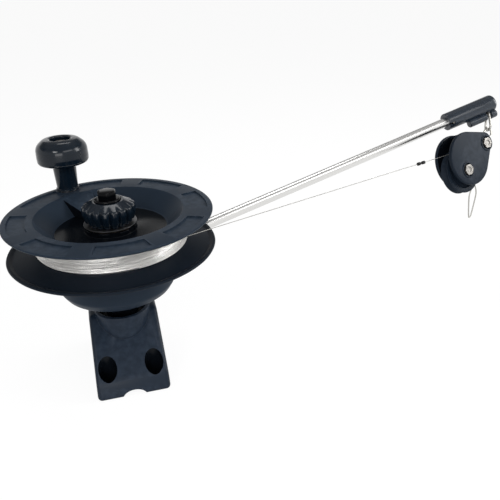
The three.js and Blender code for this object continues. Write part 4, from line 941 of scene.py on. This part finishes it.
# %% Turn the knob and press its lobes in
spring_top, skirt_top = knob_bottom + 3.1, knob_bottom + 3.6
knob = spin_profile(closed([
    (9.3, spring_top), (18, spring_top, 0.4), (18, knob_bottom, 0.4), (24, knob_bottom, 0.4),
    (24, skirt_top, 0.3), (27, skirt_top, 1.0), (29.4, knob_bottom + 13, 6),
    (28.4, knob_top - 5.8, 3.2), (17.2, knob_top, 3), (14.6, knob_top - 0.2, 0.4),
    (14.6, knob_top - 3.2, 0.3), (9.3, knob_top - 3.2),
]), 288, 8)
apply_modifier(knob, "SUBSURF", levels=1, render_levels=1)
lobes = 17
for vertex in knob.data.vertices:
    radius = math.hypot(vertex.co.x, vertex.co.y)
    wave = abs(math.cos(lobes * math.atan2(vertex.co.y, vertex.co.x) / 2))
    groove = (1 - wave) ** 1.5
    reach = min(1, max(0, (knob_top - 1.5 - vertex.co.z) / 5.5)) * min(1, max(0, (radius - 21) / 3))
    fade = reach * reach * (3 - 2 * reach)
    factor = 1 - 0.12 * groove * fade
    vertex.co.x *= factor
    vertex.co.y *= factor
finish_piece(knob, "lobed_brake_knob", "brake_wheel", ["brake_knob"], knob_plastic)
print("brake knob:", len(knob.data.polygons), "faces")

# %% Turn the pressure plate and model the hex cap
plate = pipe(6.3, 29, plate_bottom, plate_bottom + 1.2, 128, 0.3)
finish_piece(plate, "brake_plate_disc", "brake_plate", ["pressure_plate"], dark_steel)

collar_top, cap_top = cap_bottom + 3.4, cap_bottom + 11.7
cap = spin_profile(closed([
    (6.3, cap_bottom), (13.9, cap_bottom, 0.6), (13.9, collar_top, 1.4), (6.3, collar_top),
]), 96)
hexagon = placed(rod(11, collar_top - 1, cap_top, 6), turned(24, "Z"))
bevel_edges(hexagon, 1.5, 4, 25)
combine(cap, hexagon, "UNION")
drill(cap, 6.3, cap_bottom - 5, cap_bottom + 8.5, 48)
finish_piece(cap, "hex_shaft_cap", "frame", ["shaft_cap"], cap_plastic, smooth=35)
print("hex cap:", len(cap.data.polygons), "faces")

# %% [markdown]
# ## Crank knob
# The knob is a mushroom with a full round shoulder and a sunk nut on top. It turns freely on its bolt.

# %% Turn the crank knob and its hardware
crank_frame = Matrix.Translation(crank_place)
handle_top = crank_top - rim_height
cap_under, nut_seat = handle_top - 29.5, handle_top - 8
handle = spin_profile(closed([
    (crank_bore, 1.6), (13.4, 1.6, 0.5), (13.4, 3.2, 0.5), (12.2, 4, 0.2), (13.7, cap_under, 1.2),
    (24.5, cap_under, 1), (28.4, cap_under + 1.8, 1.2), (29.3, cap_under + 3.6, 0.6),
    (29.1, cap_under + 4, 0.1), (29.5, cap_under + 4.4, 0.3), (29.7, cap_under + 9, 4),
    (29.2, handle_top - 8, 12), (20.5, handle_top - 0.8, 8), (14.2, handle_top, 3),
    (11.9, handle_top - 0.8, 1), (11.9, nut_seat, 0.4), (crank_bore, nut_seat),
]), 128, 10)
finish_piece(handle, "crank_handle", "crank", ["crank_knob"], knob_plastic, crank_frame)


def hex_bolt(radius, length, head_radius, head_height, dimple=0):
    head = rod(head_radius, 0, head_height, 6)
    chamfer = rod(head_radius * 0.985, -1, head_height + 1, 64)
    bevel_edges(chamfer, 1.5, 1, 60)
    combine(head, chamfer, "INTERSECT")
    combine(head, rod(radius, -length, head_height / 2, 40, 0.4), "UNION")
    if dimple:
        drill(head, dimple, head_height - 0.8, head_height + 2, 40)
    bevel_edges(head, 0.25, 2, 30)
    return head


def hex_nut(radius, bore_radius, height):
    nut = rod(radius, 0, height, 6)
    drill(nut, bore_radius, -1, height + 1, 40)
    bevel_edges(nut, 0.3, 2, 30)
    return nut


bolt = hex_bolt(4, 4.5 + nut_seat + 4 + 2 * GAP, 7.5, 3.6)
nut = hex_nut(7.5, crank_bore, 4)
washer = pipe(crank_bore, 12.2, GAP, GAP + 1, 64, 0.2)
for piece, name, node, finish, place in (
    (bolt, "crank_through_bolt", "crank_bolt", bolt_steel, shift(z=-4.8) @ turned(180, "X")),
    (nut, "crank_lock_nut", "crank_nut", dark_steel, shift(z=nut_seat + GAP)),
    (washer, "crank_flat_washer", "crank_washer", dark_steel, shift()),
):
    finish_piece(piece, name, "spool", [node], finish, crank_frame @ place)
print("crank knob:", len(handle.data.polygons), "faces")

# %% [markdown]
# ## Boom
# A polished tube runs from the cup to the end sleeve, whose lug holds the pin that the block hangs on.

# %% Make the boom, its sleeve and the lug
boom = pipe(boom_radius - 1.2, boom_radius, boom_start, boom_end, 96, 0.3)
finish_piece(boom, "boom_pipe", "frame", ["boom_tube"], boom_steel, boom_frame @ along_x)

sleeve = placed(spin_profile([
    (0, sleeve_start), (sleeve_radius, sleeve_start, 1.2), (sleeve_radius, sleeve_end, 5.5),
    (0, sleeve_end),
], 96, 8), along_x)
lug_place = shift(y=lug_side, z=lug_drop) @ along_x
lug_radius, lug_middle = 5.3, (lug_start + lug_end) / 2
lug = placed(rod(lug_radius, lug_start, lug_end, 64, 1.6), lug_place)
join = block(
    (lug_end - lug_start, lug_radius, lug_radius), (lug_middle, lug_side / 2, (lug_drop - lug_radius) / 2),
)
bevel_edges(join, 0.6)
combine(sleeve, join, "UNION")
combine(sleeve, lug, "UNION")
drill(sleeve, boom_radius + GAP, sleeve_start - 5, sleeve_start + 66, 72, along_x)
drill(sleeve, 1.9, lug_end - 25.3, lug_end + 5, 32, lug_place)
drill(sleeve, 6.5, lug_end - 16.6, lug_end - 9, 64, lug_place)
combine(sleeve, block((12, 2 * sleeve_radius, 3.4), (sleeve_start, -sleeve_radius, 0)))
drill(sleeve, 1.8, -22, 22, 32, shift(x=sleeve_start + 6.5) @ along_y)
bevel_edges(sleeve, 0.5, 2, 32)
finish_piece(
    sleeve, "boom_tip_sleeve", "frame", ["boom_end_sleeve"], sleeve_plastic, boom_frame,
)
print("sleeve:", len(sleeve.data.polygons), "faces")

# %% [markdown]
# ## Pulley block
# Two moulded cheeks hold the sheave between them. Each cheek has a rounded rim and a sunk seat for its
# bolt. An eye on the upper bolt hangs from the link, so the block can swing in two directions.

# %% Make a cheek and its mirror copy
cheek_centre, lobe_centre = Vector((-7.4, -39)), Vector((-3, 0.4))
cheek_radius, lobe_radius = 35.2, 12.2
between = lobe_centre - cheek_centre
back = math.atan2(between.y, between.x)
tilt = math.acos((cheek_radius - lobe_radius) / between.length)
cheek_outline = [
    *arc(lobe_radius, back - tilt, back + tilt, 20, lobe_centre),
    *arc(cheek_radius, back + tilt, back - tilt + 2 * math.pi, 64, cheek_centre),
]
hanger_radius, axle_radius, seat_depth = 3.2, 4, 2.2
web_start, web_end = math.radians(102), math.radians(150)
web_outline = [
    *arc(cheek_radius - 1.25, web_start, web_end, 12, cheek_centre),
    *arc(cheek_radius - 3.85, web_end, web_start, 12, cheek_centre),
]


def make_cheek(side, flip):
    cheek = slab(cheek_outline, 0, cheek_thickness)
    bevel_edges(cheek, 1.6, 4, 40)
    if side == "rear":
        combine(cheek, slab(web_outline, GAP - 2 * cheek_gap, 2), "UNION")
    for y, bolt_radius in ((0, hanger_radius), (-axle_distance, axle_radius)):
        place = shift(y=y)
        combine(cheek, placed(rod(10.6, 1, cheek_thickness + 0.8, 56, 0.5), place), "UNION")
        for radius, bottom in ((9, cheek_thickness - seat_depth), (bolt_radius + GAP, -5)):
            drill(cheek, radius, bottom, cheek_thickness + 5, 56, place)
    bevel_edges(cheek, 0.35, 2, 32)
    place = lean_frame @ Matrix.Diagonal((1, flip, 1, 1)) @ along_y @ shift(z=cheek_gap)
    finish_piece(
        cheek, f"block_{side}_cheek", "block", [f"{side}_cheek"], block_plastic, place,
    )
    return cheek


make_cheek("front", 1)
rear_cheek = make_cheek("rear", -1)
bpy.ops.object.mode_set(mode="EDIT")
face_outwards()
# Painted shade: the rear cheek's inner face, between the cheeks, is painted near-black.
inward = lean_frame.to_3x3() @ Vector((0, -1, 0))
paint_shade_black(rear_cheek, lambda centre, normal: normal.dot(inward) > 0.9)
print("cheek:", len(rear_cheek.data.polygons), "faces")

# %% Make the sheave, the bolts, the nuts and the spacers
half_sheave = [
    (6.6, -5.5), (10.3, -5.5, 0.8), (12.3, -3.9, 0.8), (21, -3.9, 0.8), (23, -5.5, 0.8),
    (29, -5.5, 0.6), (29, -4.7, 0.4), (groove_radius, -1.2, 0.6),
]
sheave_place = lean_frame @ shift(z=-axle_distance) @ along_y
sheave = spin_profile(mirrored(half_sheave), 128)
finish_piece(
    sheave, "grooved_sheave", "sheave_wheel", ["sheave"], block_plastic, sheave_place,
)

cheek_seat = cheek_gap + cheek_thickness - seat_depth
head_radius, head_height = 7.6, 4.2
for kind, radius, z in (("hanger", hanger_radius, 0), ("axle", axle_radius, -axle_distance)):
    bolt = hex_bolt(radius, 2 * cheek_seat + GAP + 5.2, head_radius, head_height, 3.6)
    nut = hex_nut(head_radius, radius + GAP, head_height)
    for piece, part, y in ((bolt, "bolt", -cheek_seat - GAP), (nut, "nut", cheek_seat + GAP + head_height)):
        place = lean_frame @ shift(y=y, z=z) @ along_y
        name, node = f"{kind}_hex_{part}", f"{kind}_{part}"
        finish_piece(piece, name, "block", [node], bolt_steel, place)
for side, low, high in (("front", -9.2, -6.1), ("rear", -2.7, 9.2)):
    spacer = pipe(3.5, 5.6, -high, -low, 48, 0.2)
    name, node = f"{side}_tube_spacer", f"{side}_spacer"
    finish_piece(spacer, name, "block", [node], bolt_steel, lean_frame @ along_y)
print("sheave:", len(sheave.data.polygons), "faces")


# %% Bend the hanger eye and the hanging link
def oval(length, half_width, end_radius, steps=8):
    bends = ((0, end_radius, math.pi / 2), (length - half_width, half_width, -math.pi / 2))
    return [
        Vector((middle, 0, 0)) + side_polar(radius, start + math.pi * i / steps)
        for middle, radius, start in bends for i in range(steps + 1)
    ]


eye_angle, eye_bend, eye_side = math.radians(32.9), 24.2, -4.4
eye_wire, link_wire, bend_radius = 1.4, 1.5, 6
eye_place = block_frame @ shift(y=eye_side) @ Matrix.Rotation(-eye_angle, 4, "Y")
eye = wire(smooth_route(oval(eye_bend + bend_radius, bend_radius, 4.9), 5, True), eye_wire, 14, True)
finish_piece(eye, "wire_hanger_eye", "block", ["hanger_eye"], wire_steel, eye_place)

eye_centre = block_frame @ (side_polar(eye_bend, eye_angle) + Vector((0, eye_side, 0)))
down = eye_centre - pin_place
link_reach = down.length - bend_radius + eye_wire + link_wire + GAP
down.normalize()
boom_way = Vector((math.cos(boom_rise), 0, math.sin(boom_rise)))
link_normal = (boom_way - down * boom_way.dot(down)).normalized()
link_side = down.cross(link_normal)
link_place = Matrix((down, link_normal, link_side)).transposed().to_4x4()
link_place.translation = pin_place
link = wire(smooth_route(oval(link_reach, bend_radius, 3.4), 5, True), link_wire, 14, True)
finish_piece(link, "wire_hanging_link", "link", ["hanging_link"], wire_steel, link_place)
print("link reaches", round(link_reach, 1), "mm")

# %% [markdown]
# ## Floor and light
# The floor is plain white paper. Seen directly or in a mirror, most of its white is its own, so it stays
# white while the shadow under the reel still shows on it. The room is white near the horizon and dimmer
# above, with a dark band high behind the object, which keeps a grey veil off the reel's level faces.
# Five soft lamps stand in front, on the left, in the middle, on the right and above.

# %% Lay the floor
def seen_rays(tree):
    path = tree.nodes.new("ShaderNodeLightPath").outputs
    looked = sum_up(tree, "MAXIMUM", path["Is Camera Ray"], path["Is Glossy Ray"])
    return sum_up(tree, "MAXIMUM", looked, path["Is Transmission Ray"])


bpy.ops.object.select_all(action="DESELECT")
bpy.ops.mesh.primitive_plane_add(size=40, location=(0, 0, -0.0002))
floor = bpy.context.object
floor.name = "studio_floor"
floor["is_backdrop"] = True
floor_material, tree, shader = new_material("studio_floor")
shader.inputs["Roughness"].default_value = 0.9
shader.inputs["Specular IOR Level"].default_value = 0
floor_seen = seen_rays(tree)
feed(tree, mix(tree, floor_seen, (0.8, 0.8, 0.8), (0.12, 0.12, 0.12)), shader.inputs["Base Color"])
shader.inputs["Emission Color"].default_value = (1, 1, 1, 1)
feed(tree, spread(tree, floor_seen, 0.0, 0.93, 0.0, 1.0), shader.inputs["Emission Strength"])
paint(floor, floor_material)

# %% Light the room and hang the lamps
world = bpy.data.worlds.new("studio")
bpy.context.scene.world = world
world.use_nodes = True
sky = world.node_tree
background = sky.nodes["Background"]
background.inputs["Color"].default_value = (1, 1, 1, 1)
direction = add_node(sky, "ShaderNodeTexCoord").outputs["Generated"]
parts = add_node(sky, "ShaderNodeSeparateXYZ", {"Vector": direction}).outputs
wall = spread(sky, parts["Z"], 1.0, 0.50, 0.30, 0.65)
band = sum_up(
    sky, "MULTIPLY", spread(sky, parts["Z"], 0.0, 1.0, 0.36, 0.42),
    spread(sky, parts["Z"], 1.0, 0.0, 0.62, 0.80),
)
dark = sum_up(sky, "MULTIPLY", spread(sky, parts["Y"], 0.0, 1.0, 0.0, 0.15), band)
room = mix(sky, dark, wall, 0.22, "FLOAT")
feed(sky, mix(sky, seen_rays(sky), 0.18, room, "FLOAT"), background.inputs["Strength"])


def add_lamp(name, place, size, power):
    data = bpy.data.lights.new(name, "AREA")
    data.shape = "RECTANGLE"
    data.size, data.size_y = size
    data.energy = power
    lamp = bpy.data.objects.new(name, data)
    bpy.context.scene.collection.objects.link(lamp)
    lamp.location = place
    aim = Vector((0.15, 0, 0.15)) - Vector(place)
    lamp.rotation_mode = "QUATERNION"
    lamp.rotation_quaternion = aim.to_track_quat("-Z", "Y")


add_lamp("front_softbox", (-0.6, -1.65, 0.4), (1.0, 0.8), 9)
add_lamp("left_softbox", (-0.95, -1.1, 1.25), (0.5, 0.4), 7)
add_lamp("middle_softbox", (0.6, -1.15, 1.15), (1.2, 0.4), 5)
add_lamp("right_softbox", (1.5, -0.4, 0.8), (0.5, 0.9), 11)
add_lamp("top_softbox", (0.2, 0.5, 1.7), (0.8, 0.4), 5)
bpy.context.scene.view_settings.view_transform = "Standard"
print("lamps:", len(bpy.data.lights))

# %% Update the scene
bpy.context.view_layer.update()
